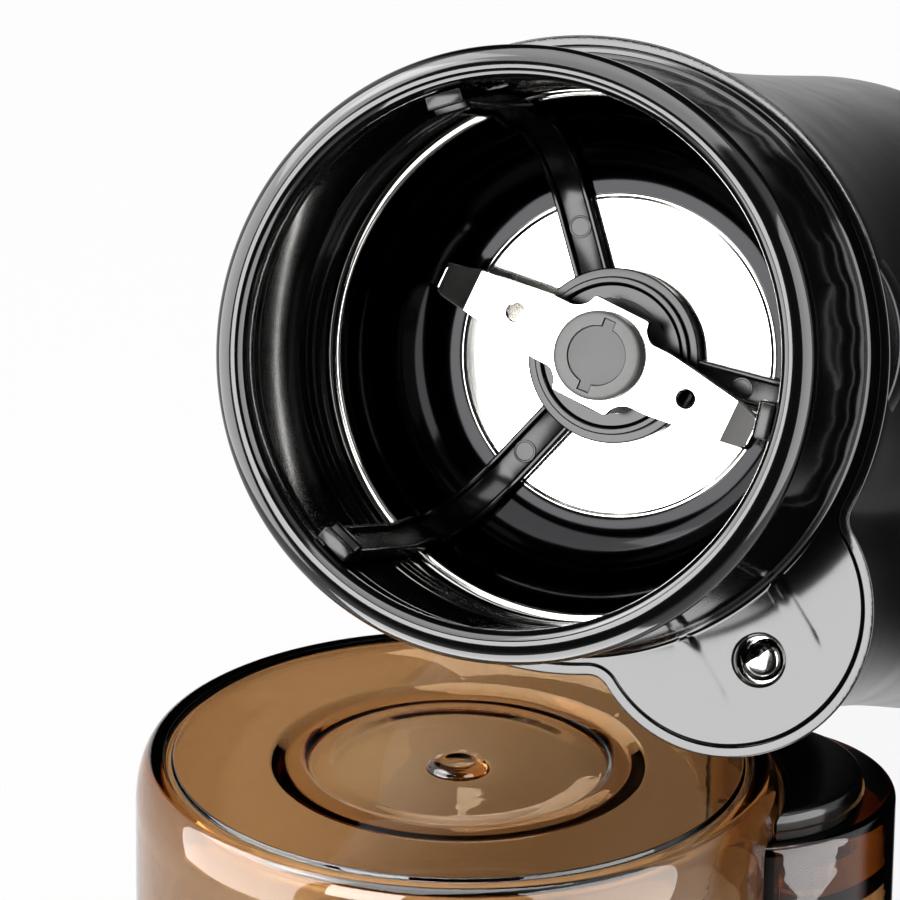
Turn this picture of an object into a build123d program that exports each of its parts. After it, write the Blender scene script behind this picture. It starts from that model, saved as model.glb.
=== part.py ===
from build123d import *
import math
import os

# Electric blade coffee grinder, in millimetres.
# It lies as in the photograph: the body nose-up with its open chamber to the front, resting on
# the edge of its base, and the lid taken off and standing on its open rim under the deck.
# Origin: centre of the footprint, on the table. +Z is up and the chamber opens towards -Y.

# Outline shared by body, deck and lid: a main circle with a side lobe for the switch
main_r = 43.6
lobe_r = 20.2
lobe_in = 3.2
lobe_offset = main_r - lobe_in
corner_r = 3.0

# Neck and deck
neck_h = 35.5
neck_step = 3.2
neck_r = main_r - neck_step
lip_over = 0.6
lip_r = neck_r + lip_over
lip_thick = 4.6
lip_seat = 3.0
neck_wall = 4.1
chamber_r = neck_r - neck_wall
band_depth = 0.6
ridge_h = 0.5
ridge_z = 3.0
ridge_pitch = 3.0
ridge_ramp = 1.0
deck_t = 3.0
seam = 0.12
rim_band = 1.4
skirt_h = 7.3
skirt_t = 2.0

# Housing
body_h = 142.5
wall = 2.2
waist_main = 2.2
waist_lobe = 4.0
waist_z = -74.0
shoulder_z = -24.0
base_draw = 0.1
base_t = 3.0
boss_r = 3.4
boss_reach = 11.0
boss_clear = 0.6
boss_web = 9.0
base_web = 14.0
rib_t = 2.0
base_boss_in = 8.1
base_boss_at = main_r - base_boss_in
base_boss_turn = 95.0
lobe_boss_shift = 6.0
base_boss_h = 18.0
screw_seat = 0.8
tab_reach = 1.5
tab_round = 18.0
tab_turn = 62.0
tab_tall = 7.0
tab_sunk = 0.5
screw_r = 1.4
head_r = 2.6
head_h = 1.8
thread_less = 0.2
slot_l = 3.2
slot_t = 0.8
slot_deep = 0.6
head_round = 0.7
bracket_screw_l = 10.0
bracket_screw_spare = 1.7
base_screw_l = 12.0

# Steel bowl, its gasket and ring nut
bowl_drop = 5.5
bowl_depth = 17.0
bowl_inset = 0.9
bowl_rim_r = chamber_r - bowl_inset
bowl_floor_r = 21.9
bowl_straight = 2.0
steel_t = 0.8
flange_w = 2.2
gasket_t = 0.8
nut_h = 4.0
fit_gap = 0.1

# Shaft, bushes and cutting blade
shaft_r = 3.0
turn_gap = 0.06
flat_w = 4.4
bush_r = 8.0
bush_h = 3.3
bush_neck_r = 5.9
bush_nut_r = 10.0
seal_h = 1.6
blade_lift = 8.5
blade_t = 1.4
blade_tip = 25.4
blade_bend = 20.4
blade_root_w = 4.6
blade_tip_w = 3.1
blade_block = 4.2
blade_block_w = 7.2
blade_rise = 28.0
blade_hole_at = 13.5
blade_hole_r = 1.35
hub_r = 6.2
hub_h = 2.2
cap_r = 4.2
cap_h = 1.3
ear_w = 1.8
ear_reach = 5.3
blade_turn = 32.0

# Wiper that sweeps the bowl
wiper_ring_r = 12.2
wiper_ring_h = 3.4
ring_bite = 2.0
ring_step = 1.2
ring_step_h = 1.0
arm_w = 5.0
arm_t = 1.9
arm_rib = 0.75
arm_floor = 0.9
wiper_gap = 0.5
arm_block = 3.4
arm_block_h = 3.0
arm_below = 2.0
arm_solid = 5.0
channel_in = 0.6
pin_mark_h = 0.5
wiper_turn = 44.0
pin_mark_r = 1.6
pin_mark_at = 18.6

# Motor
bracket_t = 2.0
mount_t = 1.2
bracket_r = 25.0
bearing_r = 5.5
bearing_h = 6.0
stator_r = 28.0
stator_h = 30.0
stator_top = -48.0
window_in = 16.6
window_out = 23.0
window_half = 34.0
coil_end = 7.0
coil_gap = 0.3
armature_r = 14.9
slots = 12
slot_w = 2.0
slot_depth = 6.2
commutator_r = 9.5
commutator_h = 10.0
commutator_top = -89.0
lower_bracket_z = -102.0
tie_r = 2.0
tie_at = 24.0
fan_r = 24.0
fan_h = 9.0
fan_z = -120.0
fan_blades = 9
holder_w = 7.0
holder_h = 8.0
brush_w = 5.0
brush_h = 6.0
brush_len = 11.0
spring_r = 1.8

# Switch under the lobe
rod_out = 4.9
rod_at = main_r + rod_out
rod_hole_r = 3.2
rod_r = 2.9
rod_sunk = 0.7
rod_travel = 2.5
rod_flange_r = 4.2
rod_flange_t = 1.0
rod_stem_r = 1.8
rib_angle = 9.6
rib_len = 8.5
rib_out = 2.4
rib_at = main_r + rib_out
rib_round = 5.0
rib_h = 0.45
switch_l = 20.0
switch_h = 10.0
switch_w = 6.4
switch_top = -23.0
switch_gap = 1.3
switch_wall_t = 1.6
switch_hole_r = 1.0
bolt_r = 0.98
bolt_head_r = 1.9
bolt_head_h = 1.2
lever_arm = 8.5
lever_l = 16.5
lever_t = 0.6
lever_w = 4.0
tip_gap = 0.15
pivot_r = 0.7

# Base and cord inlet
foot_r = 5.0
foot_h = 2.5
foot_proud = 1.5
foot_in = 13.1
foot_at = main_r - foot_in
vent_w = 2.6
vent_pitch = 5.6
vents = 7
inlet_up = 15.5
inlet_z = inlet_up - body_h
inlet_r = 4.8
inlet_bore = 3.1
inlet_flange = 6.6
inlet_cut = 20.0

# Lid
lid_h = 42.0
lid_over = 1.0
lid_r = main_r + lid_over
lid_lobe_grow = 0.8
lid_wall = 2.2
lid_top_t = 2.4
shoulder_in = 2.4
edge_r = lid_r - shoulder_in
shoulder_h = 7.0
groove_edge = 1.4
groove_w = 1.4
groove_out = edge_r - groove_edge
groove_in = groove_out - groove_w
groove_depth = 0.6
dish_ring_r = 21.9
dish_r = 18.6
dish_depth = 1.6
boss_top_r = 3.6
lobe_drop = 6.5
button_in = 3.9
button_r = lobe_r - button_in
button_gap = 0.3
pocket_depth = 10.0
pocket_bite = 0.15
button_proud = 2.6
button_travel = 4.0
button_h = 8.0
button_wall = 1.6
button_top_t = 2.4
stem_r = 2.6
stem_sleeve = 2.0
stem_clear = 0.8
coil_in = 0.3
wire_r = 0.35
coil_turns = 4
clip_t = 1.0
clip_r = 3.7
tab_h = 3.0

# The pose that the photograph shows; the slope comes from the lid that the body leans on
lobe_lean = 38.5
lid_turn = 25.0
lid_side = 12.7
lid_back = 11.3854
rest_gap = 0.35
slope_low = 8.0
slope_high = 40.0
halvings = 16

# Worked-out heights on the body's axis, whose zero is the top face of the deck
bowl_top = -bowl_drop
bowl_floor = bowl_top - bowl_depth
blade_z = bowl_floor + blade_lift
hub_top = blade_z + blade_t + hub_h
boss_end = bowl_floor - steel_t - 7.7
bracket_top = boss_end - mount_t
stator_low = stator_top - stator_h
fan_low = fan_z - 1.5
base_low = -body_h


def outline(grow_main, grow_lobe, z):
    """Main circle and lobe as one face, with both inner corners rounded."""
    lobe = Pos(lobe_offset, 0) * Rot(0, 0, 180) * Circle(lobe_r + grow_lobe)
    face = Circle(main_r + grow_main) + lobe
    round_r = corner_r - (grow_main + grow_lobe) / 2
    return Pos(0, 0, z) * fillet(face.vertices(), round_r)


def prism(grow, z_low, z_high):
    """Straight block with the shared outline."""
    return extrude(outline(grow, grow, z_low), z_high - z_low)


def tube(r_out, r_in, z_low, z_high):
    ring = Circle(r_out) - Circle(r_in)
    return Pos(0, 0, z_low) * extrude(ring, z_high - z_low)


def rod(r, z_low, z_high):
    return Pos(0, 0, z_low) * extrude(Circle(r), z_high - z_low)


def spun(*points):
    """Turned solid from a closed run of (radius, height) points."""
    face = make_face(Polyline(*points, close=True).edges())
    return revolve(Plane.XZ * face, Axis.Z)


def around(shape, count, radius, start=0.0):
    """Copies of a shape on a circle, turned with it."""
    step = 360.0 / count
    return [Rot(0, 0, start + step * i) * Pos(radius, 0) * shape for i in range(count)]


def sector(r_in, r_out, low, high, z_low, z_high):
    """Part of a ring between two angles."""
    tall = z_high - z_low
    face = make_face(Polyline((r_in, 0), (r_out, 0), (r_out, tall), (r_in, tall), close=True).edges())
    part = revolve(Plane.XZ * face, Axis.Z, revolution_arc=high - low)
    return Pos(0, 0, z_low) * Rot(0, 0, low) * part


def housing_body(inset):
    """The waisted outside of the housing, or its hollow when inset by the wall."""
    stations = [
        (0.0, 0.0, 0.0),
        (waist_main * 0.7, waist_lobe * 0.8, shoulder_z),
        (waist_main, waist_lobe, waist_z),
        (waist_main * base_draw, waist_lobe * base_draw, base_low),
    ]
    faces = [outline(-m - inset, -n - inset, z) for m, n, z in stations]
    return loft(faces)


def boss_at():
    """Radius of the three motor pillars, clear of the narrowest part of the housing."""
    return main_r - waist_main - wall - boss_r - boss_clear


def pillar(x, z_low, z_high, web):
    """Screw pillar with a rib that ties it to the wall."""
    rib = Pos(x + web / 2, 0, (z_low + z_high) / 2) * Box(web, rib_t, z_high - z_low)
    return Pos(x, 0) * rod(boss_r, z_low, z_high) + rib


def base_spots(shape):
    """The three places where the base is screwed on: two at the sides and one in the lobe."""
    spots = [Rot(0, 0, turn) * Pos(base_boss_at, 0) for turn in (base_boss_turn, -base_boss_turn)]
    spots.append(Pos(lobe_offset + lobe_boss_shift, 0))
    return [spot * shape for spot in spots]


def make_housing():
    shell = housing_body(0) - housing_body(wall)
    shell -= prism(-rim_band, -deck_t, 1)
    shell += rim_tab()
    pillars = around(pillar(boss_at(), boss_end, boss_end + boss_reach, boss_web), 3, 0, 60)
    top = base_low + base_t + base_boss_h
    pillars += base_spots(pillar(0, base_low + base_t, top, base_web))
    for one in pillars:
        shell += one & housing_body(wall / 2)
    deep = bracket_top - bracket_t + bracket_screw_l + bracket_screw_spare
    for hole in around(rod(screw_r - thread_less, boss_end - 1, deep), 3, boss_at(), 60):
        shell -= hole
    for hole in base_spots(rod(screw_r - thread_less, base_low, base_low + base_t + base_screw_l)):
        shell -= hole
    inlet = Pos(-main_r, 0, inlet_z) * Rot(0, 90, 0) * Cylinder(inlet_r, inlet_cut)
    return shell - inlet


def rim_tab():
    """Slim crescent on the rim that a finger finds when it lifts the lid."""
    lens = Pos(main_r + tab_reach - tab_round, 0) * Circle(tab_round) - Circle(main_r - wall / 2)
    lens = Pos(0, 0, -tab_sunk - tab_tall) * extrude(lens, tab_tall)
    return Rot(0, 0, tab_turn) * lens


def make_collar():
    """Neck with its thick rounded lip, deck with the lobe, and the switch wall in one moulding."""
    top = neck_h - lip_thick / 2
    lip_in = lip_r - lip_thick
    wall_in = chamber_r + band_depth
    low = bowl_top + gasket_t
    profile = [
        (lip_r, top), (neck_r, top - lip_seat), (neck_r, low), (chamber_r, low),
        (chamber_r, ridge_z - ridge_ramp), (chamber_r + ridge_h, ridge_z),
        (chamber_r, ridge_z + ridge_pitch / 2), (chamber_r + ridge_h, ridge_z + ridge_pitch),
        (chamber_r, ridge_z + 1.5 * ridge_pitch), (wall_in, ridge_z + 2 * ridge_pitch),
        (wall_in, top - 2 * lip_seat), (wall_in + ridge_h, top - 2 * lip_seat + ridge_ramp),
        (wall_in + ridge_h, top - lip_seat), (lip_in, top),
    ]
    lip = ThreePointArc((lip_in, top), (lip_r - lip_thick / 2, neck_h), (lip_r, top))
    neck = revolve(Plane.XZ * make_face(Polyline(*profile).edges() + [lip]), Axis.Z)
    skirt_r = flange_r() + skirt_t
    skirt = tube(skirt_r, skirt_r - skirt_t, low - skirt_h, -1)
    land = tube(skirt_r, chamber_r, low, -1)
    deck = prism(-rim_band - seam, -deck_t, 0) - rod(neck_r - 1, -deck_t - 1, 1)
    body = neck + deck + land + skirt
    for rib in lobe_ribs():
        body += rib
    boss = tube(rod_flange_r + 1.6, rod_hole_r, -deck_t - 0.6, -1)
    body += Pos(rod_at, 0) * boss
    body += switch_wall()
    body -= Pos(rod_at, 0) * rod(rod_hole_r, -deck_t - 2, 1)
    return body


def lobe_ribs():
    """Two soft swellings that run outwards on either side of the rod hole."""
    crown = Rot(0, 90, 0) * Cylinder(rib_round, rib_len)
    crown = Pos(0, 0, rib_h - rib_round) * crown & Pos(0, 0, rib_h / 2 - 0.1) * Box(
        rib_len, rib_round, rib_h + 0.2)
    return [Rot(0, 0, turn) * Pos(rib_at, 0) * crown for turn in (-rib_angle, rib_angle)]


def switch_face():
    return rod_at - switch_w / 2 - switch_gap


def switch_wall():
    """Wall under the deck that carries the microswitch."""
    height = -deck_t + 0.5 - (switch_top - switch_h - 1)
    centre = Pos(switch_face() - switch_wall_t / 2, 0, -deck_t + 0.5 - height / 2)
    plate = centre * Box(switch_wall_t, switch_l, height)
    for y in (-switch_l / 4, switch_l / 4):
        plate -= Pos(switch_face(), y, switch_top - switch_h / 2) * Rot(0, 90, 0) * Cylinder(
            switch_hole_r, 4 * switch_wall_t)
    return plate


def cup_solid(r_top, r_floor, z_top, z_floor):
    """Turned block: short straight top, quarter ellipse and flat floor."""
    bend = z_top - bowl_straight
    edges = [
        Line((0, z_top), (r_top, z_top)),
        Line((r_top, z_top), (r_top, bend)),
        EllipticalCenterArc((r_floor, bend), r_top - r_floor, bend - z_floor, 270, arc_size=90),
        Line((r_floor, z_floor), (0, z_floor)),
        Line((0, z_floor), (0, z_top)),
    ]
    return revolve(Plane.XZ * make_face(edges), Axis.Z)


def make_bowl():
    """Spun steel cup with a flat floor and an outward rim."""
    cup = cup_solid(bowl_rim_r + steel_t, bowl_floor_r, bowl_top, bowl_floor - steel_t)
    cup -= cup_solid(bowl_rim_r, bowl_floor_r, bowl_top, bowl_floor)
    cup += tube(flange_r(), bowl_rim_r, bowl_top - steel_t, bowl_top)
    return cup - rod(bush_neck_r + fit_gap / 2, bowl_floor - 2, bowl_floor + 1)


def flange_r():
    return bowl_rim_r + steel_t + flange_w


def make_gasket():
    return tube(flange_r() - 0.2, chamber_r + 0.2, bowl_top, bowl_top + gasket_t)


def make_ring_nut():
    r_out = flange_r() - fit_gap / 2
    z_top = bowl_top - steel_t
    ring = tube(r_out, bowl_rim_r + steel_t + 0.3, z_top - nut_h, z_top)
    for notch in around(Box(6, 5, 3), 6, r_out - 1, 15):
        ring -= Pos(0, 0, z_top - nut_h) * notch
    return ring


def make_shaft_bush():
    """Flanged bush that passes through the floor of the bowl."""
    bore = shaft_r + turn_gap
    top = bowl_floor + bush_h
    head = tube(bush_r, bore, bowl_floor, top)
    neck = tube(bush_neck_r, bore, boss_end, bowl_floor)
    return head + neck - rod(5.4, top - 1.0, top + 1)


def make_bush_nut():
    top = bowl_floor - steel_t
    nut = Pos(0, 0, top - 3) * extrude(RegularPolygon(bush_nut_r, 6), 3)
    return nut - rod(bush_neck_r, top - 4, top + 1)


def make_shaft_seal():
    low = bowl_floor + bush_h - 1.0
    return tube(5.3, shaft_r + 0.3, low, low + seal_h)


def make_shaft():
    body = rod(shaft_r, fan_low - 2.5, blade_z + blade_t + 0.8)
    flats = Box(4 * shaft_r, 4 * shaft_r, 8) - Box(flat_w, 4 * shaft_r, 8)
    return body - Rot(0, 0, blade_turn) * Pos(0, 0, blade_z + 4) * flats


def make_blade_spacer():
    low = bowl_floor + bush_h + seal_h
    body = tube(5.5, shaft_r, low, blade_z)
    return body + Pos(0, 0, blade_z - 2.0) * tube(6.6, shaft_r, 0, 2.0)


def blade_half():
    """Half of the flat blade, from the centre line to one bend."""
    pts = [
        (0, blade_block_w), (blade_block, blade_block_w), (blade_block + 0.3, blade_root_w + 1.2),
        (blade_block + 1.5, blade_root_w), (blade_bend * 0.45, blade_root_w), (blade_bend, blade_tip_w),
        (blade_bend, -blade_tip_w), (blade_bend * 0.45, -blade_root_w),
        (blade_block + 2.2, -blade_root_w), (blade_block + 0.6, -blade_root_w - 1.1),
        (blade_block, -blade_block_w), (0, -blade_block_w),
    ]
    return make_face(Polyline(*pts, close=True).edges())


def make_blade():
    """Flat steel blade whose tips are bent up."""
    half = extrude(blade_half(), blade_t)
    tip_len = blade_tip - blade_bend
    tip = Polyline((0, blade_tip_w), (tip_len, blade_tip_w * 0.72), (tip_len, -blade_tip_w * 0.72),
                   (0, -blade_tip_w), close=True)
    tip = extrude(make_face(tip.edges()), blade_t)
    tip = fillet(tip.edges().filter_by(Axis.Z).group_by(Axis.X)[-1], 1.0)
    tip = Pos(blade_bend, 0, 0) * Rot(0, -blade_rise, 0) * tip
    wing = half + tip
    wing -= Pos(blade_hole_at, 0) * Cylinder(blade_hole_r, 6)
    blade = wing + Rot(0, 0, 180) * wing
    slot = Box(flat_w, 2 * shaft_r, 4 * blade_t) & Cylinder(shaft_r, 4 * blade_t)
    return Rot(0, 0, blade_turn) * Pos(0, 0, blade_z) * (blade - slot)


def keyed_face(grow):
    face = Circle(cap_r + grow)
    ears = Rectangle(ear_w + 2 * grow, 2 * (ear_reach + grow))
    return face + ears


def make_blade_hub():
    """Light ring that holds the blade down, with a keyed hollow in its top."""
    low = blade_z + blade_t
    ring = rod(hub_r, low, hub_top)
    ring = fillet(ring.edges().group_by(Axis.Z)[-1], 0.5)
    ring -= Pos(0, 0, hub_top - cap_h) * extrude(keyed_face(0), cap_h + 1)
    ring -= rod(shaft_r, low - 1, hub_top)
    return Rot(0, 0, blade_turn + 4) * ring


def make_blade_cap():
    cap = Pos(0, 0, hub_top - cap_h) * extrude(keyed_face(-0.05), cap_h - 0.35)
    return Rot(0, 0, blade_turn + 4) * cap


def arm_face(inset, r_low, z_end):
    """Side view of the room inside the bowl and neck, drawn in by an inset."""
    bend = bowl_top - bowl_straight
    r_wall = bowl_rim_r - inset
    z_low = bowl_floor + inset
    edges = [
        Line((r_low, z_low), (bowl_floor_r, z_low)),
        EllipticalCenterArc((bowl_floor_r, bend), r_wall - bowl_floor_r, bend - z_low, 270,
                            arc_size=90),
        Line((r_wall, bend), (r_wall, z_end)),
        Line((r_wall, z_end), (r_low, z_end)),
        Line((r_low, z_end), (r_low, z_low)),
    ]
    return Plane.XZ * make_face(edges)


def wiper_arm():
    """Channel-shaped arm: out along the floor, round the bend and up to the lip."""
    start = wiper_ring_r - ring_bite
    z_end = neck_h - arm_below
    solid = extrude(arm_face(wiper_gap, start, z_end), arm_w / 2, both=True)
    solid -= extrude(arm_face(wiper_gap + arm_t, start - 1, z_end + 1), arm_w, both=True)
    inner = arm_face(wiper_gap + arm_floor, wiper_ring_r + channel_in, z_end - arm_solid)
    arm = solid - extrude(inner, arm_w / 2 - arm_rib, both=True)
    mark = Pos(pin_mark_at, 0, bowl_floor + wiper_gap + arm_floor) * Cylinder(
        pin_mark_r, pin_mark_h)
    r_wall = bowl_rim_r - wiper_gap
    block = Pos(r_wall - arm_block / 2, 0, z_end - arm_block_h / 2)
    block *= Box(arm_block, arm_w, arm_block_h)
    return arm + mark + block


def make_wiper():
    """Ring with three channelled arms that follow the floor and wall up to the lip."""
    bore = bush_r + turn_gap
    low = bowl_floor + wiper_gap
    ring = tube(wiper_ring_r, bore, low, low + wiper_ring_h)
    step_z = low + wiper_ring_h - ring_step_h
    ring -= tube(wiper_ring_r + 1, wiper_ring_r - ring_step, step_z, low + 2 * wiper_ring_h)
    for part in around(wiper_arm(), 3, 0, wiper_turn):
        ring += part
    return ring


def make_upper_bracket():
    top = bracket_top
    plate = rod(bracket_r, top - bracket_t, top)
    for ear in around(rod(boss_r, top - bracket_t, top), 3, boss_at(), 60):
        plate += ear
    for arm in around(Box(boss_at() - 15, 8, bracket_t), 3, (boss_at() + 15) / 2, 60):
        plate += Pos(0, 0, top - bracket_t / 2) * arm
    for hole in around(rod(screw_r, top - 4, top + 1), 3, boss_at(), 60):
        plate -= hole
    for hole in around(rod(tie_r, top - 4, top + 1), 2, tie_at, 90):
        plate -= hole
    return plate - rod(bearing_r, top - 4, top + 1)


def make_lower_bracket():
    top = lower_bracket_z
    plate = rod(stator_r, top - bracket_t, top)
    for hole in around(Pos(0, 0, top) * Cylinder(5, 10), 4, 18, 45):
        plate -= hole
    for hole in around(rod(tie_r, top - 4, top + 1), 2, tie_at, 90):
        plate -= hole
    return plate - rod(bearing_r, top - 4, top + 1)


def make_motor_mounts():
    return around(tube(boss_r, screw_r, bracket_top, boss_end), 3, boss_at(), 60)


def screw(z_head, length):
    """Pan-head screw that points up, head below z_head."""
    head = rod(head_r, z_head - head_h, z_head)
    head = fillet(head.edges().group_by(Axis.Z)[0], head_round)
    head -= Pos(0, 0, z_head - head_h) * Box(slot_l, slot_t, 2 * slot_deep)
    head -= Pos(0, 0, z_head - head_h) * Box(slot_t, slot_l, 2 * slot_deep)
    return head + rod(screw_r - thread_less, z_head, z_head + length)


def make_bracket_screws():
    return around(screw(bracket_top - bracket_t, bracket_screw_l), 3, boss_at(), 60)


def make_base_screws():
    return base_spots(screw(base_low + base_t - screw_seat, base_screw_l))


def make_motor_screws():
    low = lower_bracket_z - bracket_t
    top = bracket_top - bracket_t
    one = rod(tie_r, low, bracket_top + 1.5) + rod(tie_r + 1.6, low - 2.0, low)
    return around(one, 2, tie_at, 90)


def make_motor_spacers():
    upper = tube(tie_r + 1.5, tie_r, stator_top, bracket_top - bracket_t)
    lower = tube(tie_r + 1.5, tie_r, lower_bracket_z, stator_low)
    return around(upper, 2, tie_at, 90) + around(lower, 2, tie_at, 90)


def make_upper_bearing():
    top = bracket_top + 1.0
    ring = tube(bearing_r, shaft_r + turn_gap, top - bearing_h, top)
    return ring


def make_lower_bearing():
    top = lower_bracket_z + 1.5
    return tube(bearing_r, shaft_r + turn_gap, top - bearing_h, top)


def make_stator():
    """Laminated field with two poles and the windows for the coils."""
    stack = tube(stator_r, armature_r + 0.5, stator_low, stator_top)
    for turn in (0, 180):
        window = sector(window_in, window_out, turn - window_half, turn + window_half,
                        stator_low - 1, stator_top + 1)
        stack -= window
    for hole in around(rod(tie_r, stator_low - 1, stator_top + 1), 2, tie_at, 90):
        stack -= hole
    for notch in around(Pos(0, 0, (stator_low + stator_top) / 2) * Box(2, 3, stator_h + 2), 4,
                        stator_r, 45):
        stack -= notch
    return stack


def make_field_coils():
    """Two saddle windings, one round each pole."""
    coils = []
    r_in = window_in + coil_gap
    r_out = window_out - coil_gap - 3.0
    for turn in (0, 180):
        legs = sector(r_in, r_out, turn + 2, turn + window_half - 2,
                      stator_low - coil_end, stator_top + coil_end)
        legs += sector(r_in, r_out, turn + 182 - window_half, turn + 178,
                       stator_low - coil_end, stator_top + coil_end)
        ends = sector(r_in, r_out, turn + 2, turn + 178, stator_top + coil_gap,
                      stator_top + coil_end)
        ends += sector(r_in, r_out, turn + 2, turn + 178, stator_low - coil_end,
                       stator_low - coil_gap)
        coils.append(legs + ends)
    return coils


def make_armature_core():
    stack = tube(armature_r, shaft_r, stator_low, stator_top)
    groove = Pos(-slot_depth / 2, 0, (stator_low + stator_top) / 2) * Box(slot_depth, slot_w,
                                                                       stator_h + 2)
    for cut in around(groove, slots, armature_r, 0):
        stack -= cut
    return stack


def make_armature_winding():
    """Copper in the slots and the end turns at both ends."""
    gap = 0.15
    bar = Pos(-slot_depth / 2 - 0.6, 0, (stator_low + stator_top) / 2) * Box(
        slot_depth - 1.4, slot_w - 2 * gap, stator_h + 2)
    upper = tube(armature_r - 1.6, shaft_r + 1, stator_top, stator_top + 6)
    upper = fillet(upper.edges().group_by(Axis.Z)[-1], 2.0)
    lower = tube(armature_r - 1.6, shaft_r + 1, stator_low - 8, stator_low)
    lower = fillet(lower.edges().group_by(Axis.Z)[0], 2.0)
    body = upper + lower
    for part in around(bar, slots, armature_r, 0):
        body += part
    return body


def make_commutator():
    low = commutator_top - commutator_h
    drum = tube(commutator_r, shaft_r, low, commutator_top)
    cut = Pos(0, 0, (low + commutator_top) / 2) * Box(1.0, 0.5, commutator_h + 2)
    for part in around(cut, slots, commutator_r, 15):
        drum -= part
    return drum


def make_fan():
    """Cooling fan: hub, backing disc and leaning blades."""
    low = fan_z - fan_h + 4
    hub = tube(6.5, shaft_r, low, low + fan_h)
    disc = tube(fan_r, shaft_r, low + fan_h - 1.4, low + fan_h)
    blade = Pos(-8.5, 0, low + (fan_h - 1.4) / 2) * Rot(0, 0, 18) * Box(16, 1.2, fan_h - 1.4)
    for part in around(blade, fan_blades, fan_r - 0.5, 0):
        disc += part & rod(fan_r, low - 1, low + fan_h)
    return hub + disc


def brush_z():
    return commutator_top - commutator_h / 2


def make_brush_holders():
    start = commutator_r + 1.2
    length = stator_r - start - 2
    box = Box(length, holder_w, holder_h) - Box(length + 1, brush_w + 0.1, brush_h + 0.1)
    box += Pos(length / 2 - 0.5, 0, 0) * Box(1.0, holder_w, holder_h)
    leg_h = brush_z() - holder_h / 2 - lower_bracket_z
    box += Pos(0, 0, -holder_h / 2 - leg_h / 2) * Box(length - 4, holder_w, leg_h)
    return around(Pos(0, 0, brush_z()) * box, 2, start + length / 2, 0)


def make_brushes():
    block = Pos(brush_len / 2, 0, brush_z()) * Box(brush_len, brush_w, brush_h)
    block -= rod(commutator_r + 0.05, brush_z() - 9, brush_z() + 9).moved(Location((-commutator_r, 0, 0)))
    return around(block, 2, commutator_r, 0)


def make_brush_springs():
    start = commutator_r + brush_len
    end = stator_r - 2 - 1.0
    coil = Pos((end - start) / 2, 0, brush_z()) * Rot(0, 90, 0) * (
        Cylinder(spring_r, end - start) - Cylinder(spring_r - 0.5, end - start + 1))
    return around(coil, 2, start, 0)


def make_base_plate():
    plate = prism(-wall - 0.4 - fit_gap, base_low, base_low + base_t)
    plate = plate & housing_body(wall + fit_gap)
    for i in range(vents):
        y = (i - (vents - 1) / 2) * vent_pitch
        length = 30 - 2.2 * abs(i - (vents - 1) / 2)
        plate -= Pos(0, y, base_low + base_t / 2) * Box(length, vent_w, base_t + 2)
    for hole in base_spots(rod(screw_r, base_low - 1, base_low + 9)):
        plate -= hole
    for hole in base_spots(rod(head_r + 0.3, base_low - 1, base_low + base_t - screw_seat)):
        plate -= hole
    for hole in foot_places(rod(foot_r, base_low - 1, base_low + foot_h - foot_proud)):
        plate -= hole
    return plate


def foot_places(shape):
    return around(shape, 4, foot_at, 45)


def make_feet():
    pad = rod(foot_r, base_low - foot_proud, base_low + foot_h - foot_proud)
    pad = fillet(pad.edges().group_by(Axis.Z)[0], 0.6)
    return foot_places(pad)


def make_cord_inlet():
    """Gland that lines the hole where the cord comes in."""
    outer_x = main_r - 1.0
    liner = Pos(-outer_x + 2, 0, inlet_z) * Rot(0, 90, 0) * Cylinder(inlet_r - 0.05, 9)
    flange = Pos(-outer_x - 1.7, 0, inlet_z) * Rot(0, 90, 0) * Cylinder(inlet_flange, 1.6)
    body = liner + flange
    return body - Pos(-outer_x, 0, inlet_z) * Rot(0, 90, 0) * Cylinder(inlet_bore, 30)


def make_switch_body():
    x = switch_face() + switch_w / 2
    case = Pos(x, 0, switch_top - switch_h / 2) * Box(switch_w, switch_l, switch_h)
    case = fillet(case.edges().filter_by(Axis.X), 0.6)
    for y in (-switch_l / 4, switch_l / 4):
        case -= Pos(x, y, switch_top - switch_h / 2) * Rot(0, 90, 0) * Cylinder(
            switch_hole_r, 2 * switch_w)
    for y in (-8, 0, 8):
        case += Pos(x, y, switch_top - switch_h - 1.5) * Box(0.6, 3.2, 4)
    for dx in (-1, 1):
        ear = Pos(x + dx * (lever_w / 2 + 0.55), lever_arm, switch_top + 0.6) * Box(0.7, 2.6, 2.4)
        case += ear
    hole = Pos(x, lever_arm, switch_top + 0.9) * Rot(0, 90, 0) * Cylinder(pivot_r + 0.05, 12)
    return case - hole


def lever_pivot():
    """Pivot of the lever on the body's own axes."""
    return switch_face() + switch_w / 2, lever_arm, switch_top + 0.9


def lever_lean():
    """Angle that the lever stands up at rest; the rod's travel lays it down."""
    return math.degrees(rod_travel / lever_arm)


def make_switch_lever():
    x, y, z = lever_pivot()
    strip = Pos(0, -lever_l / 2, 0) * Box(lever_w, lever_l, lever_t)
    pin = Rot(0, 90, 0) * Cylinder(pivot_r, lever_w + 2.3)
    lever = Rot(-lever_lean(), 0, 0) * (strip + pin)
    return Pos(x, y, z) * lever


def make_switch_screws():
    screws = []
    for y in (-switch_l / 4, switch_l / 4):
        one = Cylinder(bolt_r, switch_w + 2 * switch_gap)
        one += Pos(0, 0, switch_w / 2 + switch_gap + bolt_head_h / 2) * Cylinder(bolt_head_r, bolt_head_h)
        x = switch_face() + switch_w / 2 - switch_gap
        screws.append(Pos(x, y, switch_top - switch_h / 2) * Rot(0, 90, 0) * one)
    return screws


def rod_tip():
    """Height where the rod's lower end meets the lever."""
    lift = lever_arm * math.tan(math.radians(lever_lean()))
    half = lever_t / 2 / math.cos(math.radians(lever_lean()))
    return lever_pivot()[2] + lift + half + tip_gap + 0.45


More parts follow.
